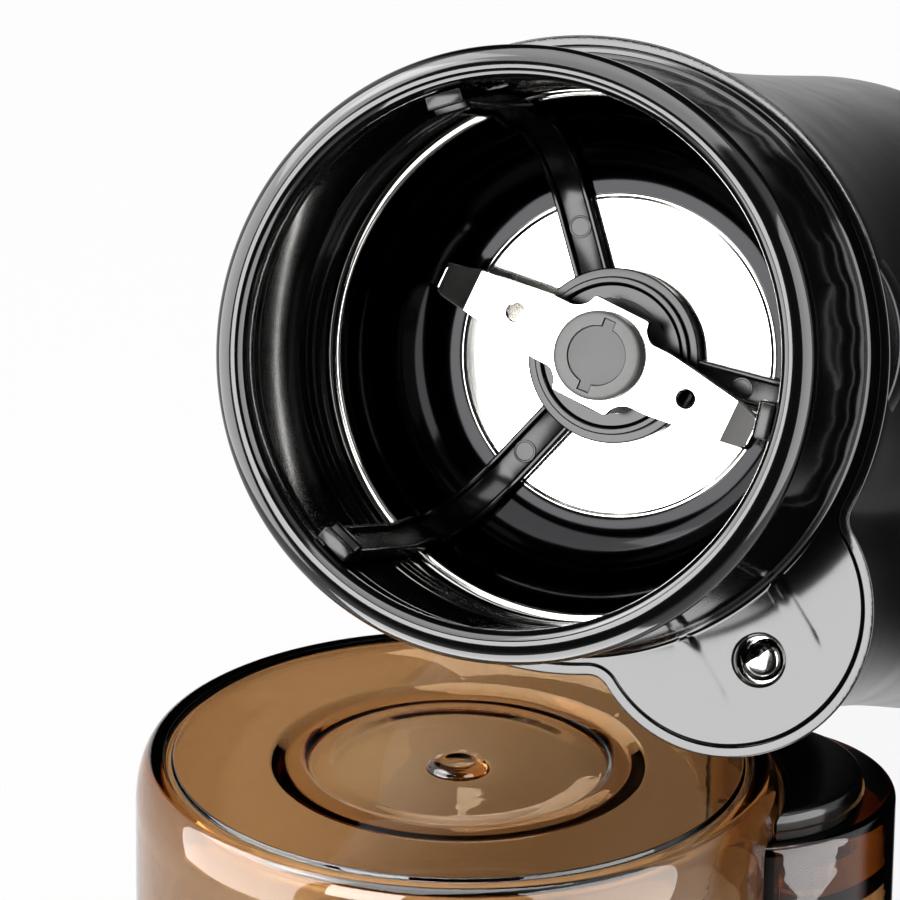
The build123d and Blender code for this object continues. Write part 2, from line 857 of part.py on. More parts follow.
def make_push_rod():
    top = -rod_sunk
    flange_top = -deck_t - 0.6 - 0.1
    pin = rod(rod_r, flange_top, top)
    pin = fillet(pin.edges().group_by(Axis.Z)[-1], 0.8)
    pin += rod(rod_flange_r, flange_top - rod_flange_t, flange_top)
    stem = rod(rod_stem_r, rod_tip(), flange_top - rod_flange_t)
    stem = fillet(stem.edges().group_by(Axis.Z)[0], 1.2)
    return Pos(rod_at, 0) * (pin + stem)


def lid_outline(grow, z):
    lobe = Pos(lobe_offset, 0) * Rot(0, 0, 180) * Circle(lobe_r + lid_lobe_grow + grow)
    face = Circle(lid_r + grow) + lobe
    return Pos(0, 0, z) * fillet(face.vertices(), corner_r)


def lid_dome(grow, top):
    """Round part of the lid: straight wall, rounded shoulder and flat top."""
    r_wall = lid_r + grow
    r_edge = edge_r + grow
    edges = [
        Line((0, -5), (r_wall, -5)),
        Line((r_wall, -5), (r_wall, top - shoulder_h)),
        EllipticalCenterArc((r_edge, top - shoulder_h), r_wall - r_edge, shoulder_h, 0, arc_size=90),
        Line((r_edge, top), (0, top)),
        Line((0, top), (0, -5)),
    ]
    return revolve(Plane.XZ * make_face(edges), Axis.Z)


def lobe_dome(grow, top):
    r_out = lobe_r + lid_lobe_grow + grow
    body = Pos(lobe_offset, 0) * rod(r_out, -5, top)
    if grow == 0:
        body = fillet(body.edges().group_by(Axis.Z)[-1], 1.6)
    return body


def lid_rim_z():
    return lid_h - lobe_drop


def make_lid_shell():
    """Clear lid: cup over the chamber, lobe over the switch and a pocket for the button."""
    rim = lid_rim_z()
    outer = lid_dome(0, lid_h) + lobe_dome(0, rim)
    chamber = lid_dome(-lid_wall, lid_h - lid_top_t)
    pocket_low = rim - pocket_depth
    lobe_room = Pos(lobe_offset, 0) * rod(lobe_r + lid_lobe_grow - lid_wall, -5, pocket_low - 2.0)
    lobe_room -= rod(lid_r, -6, lid_h)
    body = outer - chamber - lobe_room
    body -= Pos(0, 0, -10) * Box(200, 200, 20)
    pocket = Pos(lobe_offset, 0) * rod(button_r + button_gap, pocket_low, lid_h + 1)
    body -= pocket - rod(lid_r - pocket_bite, -1, lid_h + 2)
    body -= tube(groove_out, groove_in, lid_h - groove_depth, lid_h + 1)
    dish = spun((0, lid_h + 1), (0, lid_h - dish_depth - 0.3), (dish_r - 2, lid_h - dish_depth),
                (dish_r, lid_h - dish_depth + 0.4), (dish_ring_r - 0.8, lid_h - 0.25),
                (dish_ring_r, lid_h + 1))
    body -= dish
    body += spun((0, lid_h - lid_top_t - 1.2), (dish_ring_r + 2, lid_h - lid_top_t - 1.2),
                 (dish_ring_r + 4, lid_h - lid_top_t + 0.5), (0, lid_h - lid_top_t + 0.5))
    knob = spun((0, lid_h - 2.5), (boss_top_r + 0.6, lid_h - 2.5), (boss_top_r, lid_h - 0.9),
                (boss_top_r - 1.4, lid_h - 0.5), (1.2, lid_h - 1.1), (0, lid_h - 1.2))
    body += knob
    sleeve = tube(stem_r + 0.1 + stem_sleeve, stem_r + 0.1, pocket_low - 6, pocket_low)
    body += Pos(rod_at, 0) * sleeve
    body -= Pos(rod_at, 0) * rod(stem_r + 0.1, pocket_low - 8, lid_h)
    reach = lid_h - lid_top_t - tab_h / 2 + 0.3
    tab = Pos(0, 0, reach) * Box(4.0, 2.0, tab_h)
    for part in around(tab, 3, bowl_rim_r - 3, 20):
        body += part
    return body


def button_cut(body):
    """The button's edge follows the lid's round wall on its inner side."""
    return body - rod(lid_r + 0.3, -5, lid_h + 9)


def make_lid_button():
    top = lid_rim_z() + button_proud
    low = top - button_h
    cap = Pos(lobe_offset, 0) * rod(button_r, low, top)
    cap = button_cut(cap)
    cap = fillet(cap.edges().group_by(Axis.Z)[-1], 1.4)
    hollow = Pos(lobe_offset, 0) * rod(button_r - button_wall, low - 1, top - button_top_t)
    cap -= hollow - rod(lid_r + button_gap + 0.8, -5, lid_h)
    cap -= Pos(spring_x(), 0) * rod(coil_r() + wire_r + 0.3, low - 1, top - button_top_t)
    stem = Pos(spring_x(), 0) * rod(stem_r, stem_clear, top - 1.5)
    return cap + stem


def spring_x():
    """The stem stands over the push rod."""
    return rod_at


def coil_r():
    return stem_r + coil_in + wire_r


def make_button_spring():
    """Coil spring round the stem, between the pocket floor and the button."""
    low = lid_rim_z() - pocket_depth + wire_r + 0.1
    high = lid_rim_z() + button_proud - button_top_t - wire_r - 0.1
    path = Helix((high - low) / coil_turns, high - low, coil_r())
    wire = Plane(origin=path @ 0, z_dir=path % 0) * Circle(wire_r)
    coil = sweep(wire, path)
    return Pos(rod_at, 0, low) * coil


def make_button_clip():
    """Clip in the stem's groove that keeps the button in the lid."""
    top = lid_rim_z() - pocket_depth - 6 - 0.2
    ring = tube(clip_r, stem_r, top - clip_t, top)
    gap = Pos(clip_r, 0, top) * Box(2 * clip_r - 2, 2.2, 4 * clip_t)
    return Pos(rod_at, 0) * (ring - gap)


def lid_place():
    """The lid stands on its open rim at the origin."""
    return Rot(0, 0, lid_turn)


def body_place(slope):
    """The body on the lower edge of its base, nose up by a slope, its deck over the lid's back."""
    t = math.radians(slope)
    lean = math.radians(lobe_lean)
    reach = lobe_offset * math.cos(lean) + lobe_r - base_draw * waist_lobe
    height = body_h * math.sin(t) + reach * math.cos(t)
    opening = Vector(0, -math.cos(t), math.sin(t))
    down = Vector(0, -math.sin(t), -math.cos(t))
    lobe_way = down * math.cos(lean) + Vector(1, 0, 0) * math.sin(lean)
    return Location(Plane(origin=(lid_side, lid_back, height), x_dir=lobe_way, z_dir=opening))


def lid_cover():
    """The lid's outside with its button, as one block."""
    return lid_dome(0, lid_h) + lobe_dome(0, lid_rim_z()) + make_lid_button()


def layout():
    """Places of body and lid: the body's nose comes down until it all but rests on the lid."""
    block = housing_body(0)
    cover = lid_cover().moved(lid_place())
    low, high = slope_low, slope_high
    for _ in range(halvings):
        slope = (low + high) / 2
        if block.moved(body_place(slope)).distance_to(cover) < rest_gap:
            low = slope
        else:
            high = slope
    box = Compound(children=[block.moved(body_place(high)), cover]).bounding_box()
    middle = Location((-(box.min.X + box.max.X) / 2, -(box.min.Y + box.max.Y) / 2, 0))
    return middle * body_place(high), middle * lid_place()


BODY_PARTS = {
    "housing": make_housing,
    "collar": make_collar,
    "base_plate": make_base_plate,
    "rubber_feet": make_feet,
    "base_screws": make_base_screws,
    "cord_inlet": make_cord_inlet,
    "steel_bowl": make_bowl,
    "bowl_gasket": make_gasket,
    "bowl_ring_nut": make_ring_nut,
    "shaft_bush": make_shaft_bush,
    "bush_nut": make_bush_nut,
    "shaft_seal": make_shaft_seal,
    "upper_bracket": make_upper_bracket,
    "lower_bracket": make_lower_bracket,
    "motor_mounts": make_motor_mounts,
    "bracket_screws": make_bracket_screws,
    "motor_screws": make_motor_screws,
    "motor_spacers": make_motor_spacers,
    "upper_bearing": make_upper_bearing,
    "lower_bearing": make_lower_bearing,
    "stator": make_stator,
    "field_coils": make_field_coils,
    "brush_holders": make_brush_holders,
    "brushes": make_brushes,
    "brush_springs": make_brush_springs,
    "switch_body": make_switch_body,
    "switch_screws": make_switch_screws,
    "switch_lever": make_switch_lever,
    "push_rod": make_push_rod,
    "motor_shaft": make_shaft,
    "armature_core": make_armature_core,
    "armature_winding": make_armature_winding,
    "commutator": make_commutator,
    "cooling_fan": make_fan,
    "blade_spacer": make_blade_spacer,
    "blade": make_blade,
    "blade_hub": make_blade_hub,
    "blade_cap": make_blade_cap,
    "wiper": make_wiper,
}
LID_PARTS = {
    "lid_shell": make_lid_shell,
    "lid_button": make_lid_button,
    "button_spring": make_button_spring,
    "button_clip": make_button_clip,
}


def placed(shape, place):
    """One solid, or several as a group, moved to its place in the row's frame."""
    pieces = shape if isinstance(shape, (list, tuple)) else [shape]
    solids = [s.moved(place) for p in pieces for s in p.solids()]
    return solids[0] if len(solids) == 1 else Compound(children=solids)


def main():
    os.makedirs("parts", exist_ok=True)
    body_spot, lid_spot = layout()
    print("deck centre", body_spot.position)
    for parts, place in ((BODY_PARTS, body_spot), (LID_PARTS, lid_spot)):
        for name, make in parts.items():
            export_step(placed(make(), place), f"parts/{name}.step")


main()
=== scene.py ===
# %% [markdown]
# # A blade coffee grinder, dressed for its picture
# The solids of this grinder were drawn in a CAD program and packed with every piece in its place.
# This lesson puts the looks around them: finer meshes where the eye rests, a finish for every piece,
# a camera and a small studio. The imported part is loaded first, because everything else is measured
# from it.

# %% Load the imported part
from math import asin, atan2, cos, exp, hypot, pi, radians, sin, sqrt

import bmesh
import bpy
from mathutils import Matrix, Vector


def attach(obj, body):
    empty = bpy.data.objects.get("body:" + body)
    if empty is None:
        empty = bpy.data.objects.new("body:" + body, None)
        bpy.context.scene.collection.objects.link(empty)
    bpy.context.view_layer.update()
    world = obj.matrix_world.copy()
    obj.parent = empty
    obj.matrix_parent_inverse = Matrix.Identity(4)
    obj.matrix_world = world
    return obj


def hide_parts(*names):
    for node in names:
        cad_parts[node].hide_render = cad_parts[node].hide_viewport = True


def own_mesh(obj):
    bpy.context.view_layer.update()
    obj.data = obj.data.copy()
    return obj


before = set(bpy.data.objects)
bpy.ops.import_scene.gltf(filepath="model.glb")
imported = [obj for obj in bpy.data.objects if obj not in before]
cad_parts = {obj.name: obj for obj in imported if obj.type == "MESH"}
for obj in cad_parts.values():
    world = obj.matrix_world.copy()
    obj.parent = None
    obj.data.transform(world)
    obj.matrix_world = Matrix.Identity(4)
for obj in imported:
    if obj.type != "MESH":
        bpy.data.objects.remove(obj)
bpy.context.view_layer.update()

# %% [markdown]
# ## Two places
# The grinder lies on the edge of its base with its nose up, and its lid stands in front of it on the
# open rim. Modelling on a slope is awkward. So the body's pieces are made upright, on the grinder's own
# axes: +Z runs out of the chamber, +X points at the lobe with the switch, and zero is the top of the
# deck. The lid's pieces have +X towards their lobe and zero at the open rim. One matrix for each group
# carries its pieces to where the CAD has them. Two small functions put meshes and lamps in the scene.

# %% Places of body and lid
MM = 0.001
TILT = radians(20.8)
LOBE_LEAN = radians(38.5)
LID_TURN = radians(25.0)
DECK_CENTRE = Vector((5.9752, -46.3159, 98.669))
LID_CENTRE = Vector((-6.7248, -57.7013, 0.0))

OPENING = Vector((0, -cos(TILT), sin(TILT)))
DOWNWARD = Vector((0, -sin(TILT), -cos(TILT)))
LOBE_WAY = DOWNWARD * cos(LOBE_LEAN) + Vector((1, 0, 0)) * sin(LOBE_LEAN)


def place_of(x_way, z_way, centre):
    """Matrix from a group's own axes in millimetres to the row's frame, still in millimetres."""
    turn = Matrix((x_way, z_way.cross(x_way), z_way)).transposed().to_4x4()
    return Matrix.Translation(centre) @ turn


def mesh_of(bm, name):
    """A mesh made from a bmesh, which is freed."""
    mesh = bpy.data.meshes.new(name)
    bm.to_mesh(mesh)
    bm.free()
    return mesh


def placed(name, data):
    """A new object in the scene that shows a mesh, a lamp or a camera."""
    made = bpy.data.objects.new(name, data)
    bpy.context.scene.collection.objects.link(made)
    return made


BODY = place_of(LOBE_WAY, OPENING, DECK_CENTRE)
LID = place_of(Vector((cos(LID_TURN), sin(LID_TURN), 0)), Vector((0, 0, 1)), LID_CENTRE)
print("deck centre in mm:", tuple(BODY.translation), "lid centre:", tuple(LID.translation))

# %% [markdown]
# ## The camera
# A long lens flattens the depth, as in most product pictures. Yaw, elevation and roll come from
# matching the round edges of lip, deck, bowl and lid to the picture. The camera aims past the lip's
# centre by a few millimetres, so no lens shift is needed.

# %% Camera
LIP_UP = 33.2
LIP_CENTRE = DECK_CENTRE + OPENING * LIP_UP
YAW, ELEVATION, ROLL = (radians(a) for a in (16.707, 22.43, 0.707))
CAMERA_AWAY = 1000.0
AIM_RIGHT, AIM_UP = -8.363, -12.558
FOCAL_PX, IMAGE_PX, SENSOR_MM = 7579.6, 900, 36.0

towards = Vector((sin(YAW), -cos(YAW), 0)) * cos(ELEVATION)
towards += Vector((0, 0, sin(ELEVATION)))
right = Vector((cos(YAW), sin(YAW), 0))
upward = towards.cross(right)
right, upward = (right * cos(ROLL) + upward * sin(ROLL),
                 upward * cos(ROLL) - right * sin(ROLL))
spot = LIP_CENTRE + towards * CAMERA_AWAY + right * AIM_RIGHT + upward * AIM_UP

lens = bpy.data.cameras.new("camera")
lens.sensor_width = SENSOR_MM
lens.lens = FOCAL_PX / IMAGE_PX * SENSOR_MM
lens.clip_start, lens.clip_end = 0.01, 50.0
camera = placed("camera", lens)
looking = Matrix((right, upward, towards)).transposed().to_4x4()
camera.matrix_world = Matrix.Translation(spot * MM) @ looking
bpy.context.scene.camera = camera
print("camera at mm:", [round(c, 1) for c in spot], "lens mm:", round(lens.lens, 1))

# %% [markdown]
# ## Adding shader nodes
# A material is a small network of nodes. One function adds a node, sets its fields and fills its
# inputs, each with a value or with another node's output. Colours are written as the hex codes that a
# paint program shows, and turned to the linear values that a shader needs.

# %% Node and colour helpers
WHITE = (1, 1, 1, 1)


def grey(level):
    """A neutral colour in linear light."""
    return (level, level, level, 1)


def linear(code):
    """The shader's linear colour for an sRGB hex code."""
    parts = [int(code[i:i + 2], 16) / 255 for i in (0, 2, 4)]
    return [p / 12.92 if p <= 0.04045 else ((p + 0.055) / 1.055) ** 2.4 for p in parts] + [1.0]


def add(tree, kind, inputs=None, **fields):
    """Adds one node; inputs maps a socket's name or number to a value or to an output socket."""
    node = tree.nodes.new("ShaderNode" + kind)
    for field, value in fields.items():
        setattr(node, field, value)
    for socket, value in (inputs or {}).items():
        if isinstance(value, bpy.types.NodeSocket):
            tree.links.new(value, node.inputs[socket])
        else:
            node.inputs[socket].default_value = value
    return node


def blank(name):
    """A new material with an empty network and its output node."""
    material = bpy.data.materials.new(name)
    material.use_nodes = True
    material.node_tree.nodes.clear()
    return material, material.node_tree, add(material.node_tree, "OutputMaterial")


def maths(tree, operation, first, second):
    """The output of a Math node for two values."""
    return add(tree, "Math", {0: first, 1: second}, operation=operation).outputs[0]


def mix(tree, factor, first, second):
    """The colour between two others; 6, 7 and 2 are the Mix node's sockets for colours."""
    return add(tree, "Mix", {"Factor": factor, 6: first, 7: second}, data_type="RGBA").outputs[2]


def ramp(tree, value, low, high, start=0.0, stop=1.0):
    """Stretches a value that runs from start to stop between low and high."""
    return add(tree, "MapRange", {"Value": value, "From Min": start, "From Max": stop,
                                  "To Min": low, "To Max": high}).outputs[0]


def looks(tree):
    """The kinds of ray, and 1 for a straight look or a look through the lid."""
    rays = add(tree, "LightPath").outputs
    return rays, maths(tree, "MAXIMUM", rays["Is Camera Ray"], rays["Is Transmission Ray"])


def give_skin(tree, out, inputs):
    """Ends a material's network in a Principled surface."""
    tree.links.new(add(tree, "BsdfPrincipled", inputs).outputs[0], out.inputs["Surface"])


print("black plastic in linear light:", [round(c, 4) for c in linear("0B0B0D")])

# %% [markdown]
# ## The little studio
# Gloss shows what stands around it, so the lights are placed by what each face mirrors. The deck, the
# bowl's floor and the flat of the blade all face the same way and throw the camera's look towards one
# spot at the front left. A softbox hangs there: it turns the steel white and the black deck silver.
# A second lamp overhead only lights, and shows in no gloss. Round the sides stand large white cards,
# lamps that only show in gloss and light nothing: they draw the pale lines on the round lip.

# %% Lamps
LAMPS_AWAY = 0.9


def softbox(name, direction, size, brightness, lights=True, shows=True):
    """An area lamp that looks at the grinder from a direction; it lights, shows in gloss, or both."""
    way = Vector(direction).normalized()
    lamp = bpy.data.lights.new(name, "AREA")
    lamp.shape = "RECTANGLE"
    lamp.size, lamp.size_y = size
    lamp.energy = brightness * pi * size[0] * size[1]
    box = placed(name, lamp)
    turn = way.to_track_quat("Z", "Y").to_matrix().to_4x4()
    box.matrix_world = Matrix.Translation(DECK_CENTRE * MM + way * LAMPS_AWAY) @ turn
    box.visible_diffuse, box.visible_glossy = lights, shows
    return box


lamps = [
    softbox("key", (-0.27, -0.92, 0.28), (0.40, 0.40), 12.5),
    softbox("overhead", (-0.1, 0.2, 0.97), (0.8, 0.5), 3.2, shows=False),
    softbox("left_card", (-0.90, -0.42, 0.30), (0.95, 1.35), 6.0, lights=False),
    softbox("top_card", (-0.15, -0.24, 0.97), (1.0, 1.1), 4.5, lights=False),
    softbox("low_card", (-0.15, -0.50, -0.85), (1.0, 0.8), 9.5, lights=False),
    softbox("right_card", (0.92, -0.34, 0.18), (0.9, 1.2), 5.0, lights=False),
    softbox("upper_left_card", (-0.66, -0.20, 0.72), (0.6, 0.6), 4.5, lights=False),
]
print("lamps:", [lamp.name for lamp in lamps])

# %% [markdown]
# ## White room
# Straight looks, mirrored looks and looks through the lid find a white room of strength 1. Light Path
# tells these rays from the ones that only carry light, which meet a plain grey instead, so that the
# room doesn't flood the colours. A mirrored ray also asks which way it goes. Three dark cards stand in
# front, behind to the right and above behind, as in a studio that wants black plastic to look black.

# %% World
world = bpy.data.worlds.new("studio")
world.use_nodes = True
bpy.context.scene.world = world
sky = world.node_tree
sky.nodes.clear()
FILL_LIGHT, DARK_CARD = 0.42, 0.004


def card(tree, direction, full_cos, none_cos):
    """How much a dark card covers a ray's direction: 1 in its middle and 0 outside it."""
    facing = add(tree, "VectorMath", {0: add(tree, "TexCoord").outputs["Generated"],
                                      1: Vector(direction).normalized()}, operation="DOT_PRODUCT")
    edge = add(tree, "MapRange", {"Value": facing.outputs["Value"], "From Min": none_cos,
                                  "From Max": full_cos}, interpolation_type="SMOOTHSTEP")
    return edge.outputs["Result"]


front = card(sky, (0.1, -0.93, 0.30), 0.80, 0.45)
far_right = card(sky, (0.50, 0.86, -0.10), 0.88, 0.72)
above = card(sky, (0.0, 0.75, 0.66), 0.85, 0.70)
covered = maths(sky, "MAXIMUM", front, maths(sky, "MAXIMUM", far_right, above))
mirrored = mix(sky, covered, WHITE, grey(DARK_CARD))
rays, seen = looks(sky)
lit = mix(sky, rays["Is Glossy Ray"], grey(FILL_LIGHT), mirrored)
room = add(sky, "Background", {"Color": mix(sky, seen, lit, WHITE), "Strength": 1.0})
add(sky, "OutputWorld", {"Surface": room.outputs[0]})
print("world nodes:", len(sky.nodes))

# %% [markdown]
# ## Floor
# The floor is a plain pale sheet. The camera sees mostly its own white, with a share of real, lit
# white on top, and that share is what darkens where the object keeps light away. A look through the
# lid sees more of the shade: the paper under a closed, tinted cup gets little light.

# %% Floor
FLOOR_SHADE, SHADE_THROUGH_LID, PAPER_WHITE, FLOOR_HALF = 0.08, 0.80, 0.9, 6.0
paper, tree, out = blank("paper_white_matt")
rays, seen = looks(tree)
matt = add(tree, "BsdfDiffuse", {"Color": grey(PAPER_WHITE)}).outputs[0]
own = add(tree, "Emission", {"Color": WHITE, "Strength": 1.0}).outputs[0]
through = ramp(tree, rays["Is Transmission Ray"], FLOOR_SHADE, SHADE_THROUGH_LID)
share = add(tree, "MixShader", {0: through, 1: own, 2: matt}).outputs[0]
both = add(tree, "MixShader", {0: seen, 1: matt, 2: share}).outputs[0]
tree.links.new(both, out.inputs["Surface"])

bm = bmesh.new()
bmesh.ops.create_grid(bm, x_segments=1, y_segments=1, size=FLOOR_HALF)
floor = placed("floor", mesh_of(bm, "floor"))
floor.data.materials.append(paper)
floor.visible_glossy = False
print("floor at height", floor.location.z)

# %% [markdown]
# ## Patterns on the grinder's own axes
# A texture needs coordinates. Each finished piece sits at the origin with its place in its mesh, so
# its Object coordinates are the row's own metres. For rings turned round the shaft that is the wrong
# way up, so a Mapping node brings the coordinates back to the grinder's upright axes.

# %% Coordinates for patterns
def own_axes(tree, place):
    """Object coordinates turned back to a group's upright axes, in metres."""
    back = add(tree, "TexCoord").outputs["Object"]
    turn = place.to_3x3().to_euler()
    centre = Vector(place.translation) * MM
    return add(tree, "Mapping", {"Vector": back, "Location": centre, "Rotation": turn},
               vector_type="TEXTURE").outputs[0]


def per_mm(size):
    """Texture scale that repeats a pattern about every so many millimetres."""
    return 1.0 / (size * MM)


def bump(tree, height, depth_mm, normal=None):
    """A bump from a 0 to 1 height, as deep as a number of millimetres."""
    inputs = {"Height": height, "Distance": depth_mm * MM, "Strength": 1.0}
    if normal:
        inputs["Normal"] = normal
    return add(tree, "Bump", inputs).outputs[0]


def height_in(tree, where):
    """The height of upright coordinates."""
    return add(tree, "SeparateXYZ", {0: where}).outputs["Z"]


def noise(tree, where, size_mm, detail, **more):
    """A cloudy pattern whose patches are about so many millimetres wide."""
    return add(tree, "TexNoise", {"Vector": where, "Scale": per_mm(size_mm), "Detail": detail,
                                  **more}).outputs[0]


print("grain of 0.4 mm needs scale", per_mm(0.4))

# %% [markdown]
# ## Black plastics
# The neck, deck and button are ABS moulded in a polished tool. Polished plastic still has a faint
# ripple, a few millimetres long and a few thousandths deep, that makes the edges of mirrored lights
# wander. The housing comes from the same plastic out of a blasted tool: its fine grain spreads a light
# into a soft shine. The wiper is nylon, a little duller, with smears from the mould's polish.

# %% Black plastics
SMEAR_MM, LEAST_DULL, MOST_DULL = 14.0, 0.75, 1.3
RUB_EDGE_MM, RUBBED_SHARE = 0.3, 0.25


def black_plastic(name, colour, roughness, ripple_mm, ripple_deep, grain_mm=0.0, grain_deep=0.0,
                  polished_above=None, ior=1.53):
    """Moulded black plastic: a ripple in the surface, uneven shine and, if asked, a blasted grain."""
    material, tree, out = blank(name)
    where = own_axes(tree, BODY)
    normal = bump(tree, noise(tree, where, ripple_mm, 1.5), ripple_deep)
    if grain_mm:
        normal = bump(tree, noise(tree, where, grain_mm, 2.0), grain_deep, normal)
    smear = noise(tree, where, SMEAR_MM, 4.0, Roughness=0.6)
    shine = ramp(tree, smear, roughness * LEAST_DULL, roughness * MOST_DULL)
    if polished_above is not None:
        rubbed = ramp(tree, height_in(tree, where), 1.0, RUBBED_SHARE,
                      (polished_above - RUB_EDGE_MM) * MM, polished_above * MM)
        shine = maths(tree, "MULTIPLY", shine, rubbed)
    give_skin(tree, out, {"Base Color": linear(colour), "Roughness": shine, "IOR": ior,
                          "Normal": normal})
    return material


abs_gloss = black_plastic("abs_black_polished", "0A0A0B", 0.08, 9.0, 0.012)
abs_satin = black_plastic("abs_black_blasted", "101012", 0.30, 12.0, 0.010, 0.45, 0.004, -0.3)
nylon_wiper = black_plastic("nylon_black_moulded", "050505", 0.17, 3.0, 0.008, 0.8, 0.001, ior=1.40)
abs_button = black_plastic("abs_black_button", "060606", 0.14, 7.0, 0.008)
print("black plastics:", [m.name for m in (abs_gloss, abs_satin, nylon_wiper, abs_button)])

# %% [markdown]
# ## Steels
# The bowl is stainless sheet, spun and polished: hair-fine rings run round its axis. The blade is
# harder stainless, ground flat, so its lines run straight along it. Both are drawn in the roughness
# and a shallow bump. Real polishing lines are far finer than a pixel, so these are half a millimetre
# wide. The bowl's side is painted much darker than its floor, because the photograph shows it so:
# this is a painted dark reflection of the shaded chamber that the side mirrors, not the steel's colour.

# %% Steels
CLOUD_MM, MOST_SHINE, LEAST_SHINE = 16.0, 0.6, 2.0
DARK_EDGE_MM, DARK_TOP_MM = 0.5, 0.4


def steel(name, colour, roughness, place, line_mm, stretch, deep, painted_dark_reflection=None):
    """Bare steel with lines of polish or grinding; stretch says how long the lines are on each axis."""
    material, tree, out = blank(name)
    where = own_axes(tree, place)
    if stretch:
        drawn = add(tree, "Mapping", {"Vector": where, "Scale": stretch}).outputs[0]
    else:
        flat = add(tree, "VectorMath", {0: where, 1: (1, 1, 0)}, operation="MULTIPLY").outputs[0]
        away = add(tree, "VectorMath", {0: flat}, operation="LENGTH").outputs["Value"]
        drawn = add(tree, "CombineXYZ", {"X": away}).outputs[0]
    lines = noise(tree, drawn, line_mm, 3.0, Roughness=0.65)
    uneven = maths(tree, "MULTIPLY", lines, noise(tree, where, CLOUD_MM, 2.0))
    tone = linear(colour)
    # Painted dark reflection: past a radius and below a height the steel's colour turns near black,
    # standing in for the shaded chamber that the bowl's side mirrors.
    if painted_dark_reflection:
        floor_r, dark, top = painted_dark_reflection
        beyond = ramp(tree, away, 0.0, 1.0, floor_r * MM, (floor_r + DARK_EDGE_MM) * MM)
        below = ramp(tree, height_in(tree, where), 1.0, 0.0, top * MM, (top + DARK_TOP_MM) * MM)
        tone = mix(tree, maths(tree, "MULTIPLY", beyond, below), tone, linear(dark))
    give_skin(tree, out, {
        "Base Color": tone, "Metallic": 1.0,
        "Roughness": ramp(tree, uneven, roughness * MOST_SHINE, roughness * LEAST_SHINE),
        "Normal": bump(tree, lines, deep)})
    return material


BLADE_TURN = radians(32.0)
along_blade = BODY @ Matrix.Rotation(BLADE_TURN, 4, "Z")
# The bowl's side gets a painted dark reflection: from 22.2 mm out and below 6.6 mm under the deck its
# steel is coloured near black.
steel_spun = steel("stainless_spun_polished", "D6D4D0", 0.09, BODY, 0.5, None, 0.0006,
                   (22.2, "1C1C1D", -6.6))
steel_ground = steel("stainless_ground_honed", "DAD8D5", 0.13, along_blade, 0.5, (0.04, 1, 1), 0.0008)
steel_turned = steel("steel_turned_bright", "CFCDCA", 0.12, BODY, 1.2, (1, 1, 6), 0.0003)
steel_zinc = steel("steel_zinc_plated", "C4C6C8", 0.28, BODY, 2.0, (1, 1, 1), 0.003)
spring_wire = steel("spring_steel_drawn", "B9B7B2", 0.22, BODY, 0.6, (1, 1, 1), 0.001)
print("steels:", [m.name for m in (steel_spun, steel_ground, steel_turned, steel_zinc, spring_wire)])

# %% [markdown]
# ## Smoked amber lid
# The lid is clear SAN, tinted right through. Painting a tint on its skin would colour thin and thick
# places alike. So the skin is clear glass-like plastic, and the tint is in the volume: light loses
# some blue on every millimetre, and a look along the wall comes out dark brown, as on the real lid.

# %% Smoked amber plastic
TINT_PER_MM, LID_WALL = (0.155, 0.28, 0.46), 2.2
FLOW_MM, FLOW_DEEP, CLEAR_IOR, HEADROOM = 11.0, 0.035, 1.57, 1.05


def clear_tinted(name, per_mm_loss, roughness):
    """Clear moulded plastic whose tint grows with its thickness."""
    material, tree, out = blank(name)
    flow = noise(tree, own_axes(tree, LID), FLOW_MM, 2.0, Distortion=1.2)
    give_skin(tree, out, {"Base Color": WHITE, "Roughness": roughness, "IOR": CLEAR_IOR,
                          "Transmission Weight": 1.0, "Normal": bump(tree, flow, FLOW_DEEP)})
    strongest = max(per_mm_loss) * HEADROOM
    kept = [1 - loss / strongest for loss in per_mm_loss]
    tint = add(tree, "VolumeAbsorption", {"Color": kept + [1.0], "Density": strongest / MM})
    tree.links.new(tint.outputs[0], out.inputs["Volume"])
    return material


san_amber = clear_tinted("san_amber_clear", TINT_PER_MM, 0.015)
passed = [round(exp(-LID_WALL * loss), 2) for loss in TINT_PER_MM]
print("light left after one wall of", LID_WALL, "mm:", passed)

# %% [markdown]
# ## The plainer finishes
# The rest of the grinder is hidden or small: rubber feet, grey nylon at the blade, and the motor. Each
# still gets its own finish. One function makes them: a base colour that varies a little over a few
# millimetres, a shine, a metal share and a grain of a real size.

# %% Plain finishes
PATCH_MM, PATCH_SHARE = 4.0, 0.15


def plain(name, colour, second, roughness, grain_mm, grain_deep, metallic=0.0):
    """A matt or metal finish whose colour and grain vary over the surface."""
    material, tree, out = blank(name)
    where = own_axes(tree, BODY)
    patch = noise(tree, where, PATCH_MM, 3.0)
    give_skin(tree, out, {
        "Base Color": mix(tree, patch, linear(colour), linear(second)), "Metallic": metallic,
        "Roughness": ramp(tree, patch, roughness * (1 - PATCH_SHARE), roughness * (1 + PATCH_SHARE)),
        "Normal": bump(tree, noise(tree, where, grain_mm, 2.0), grain_deep)})
    return material


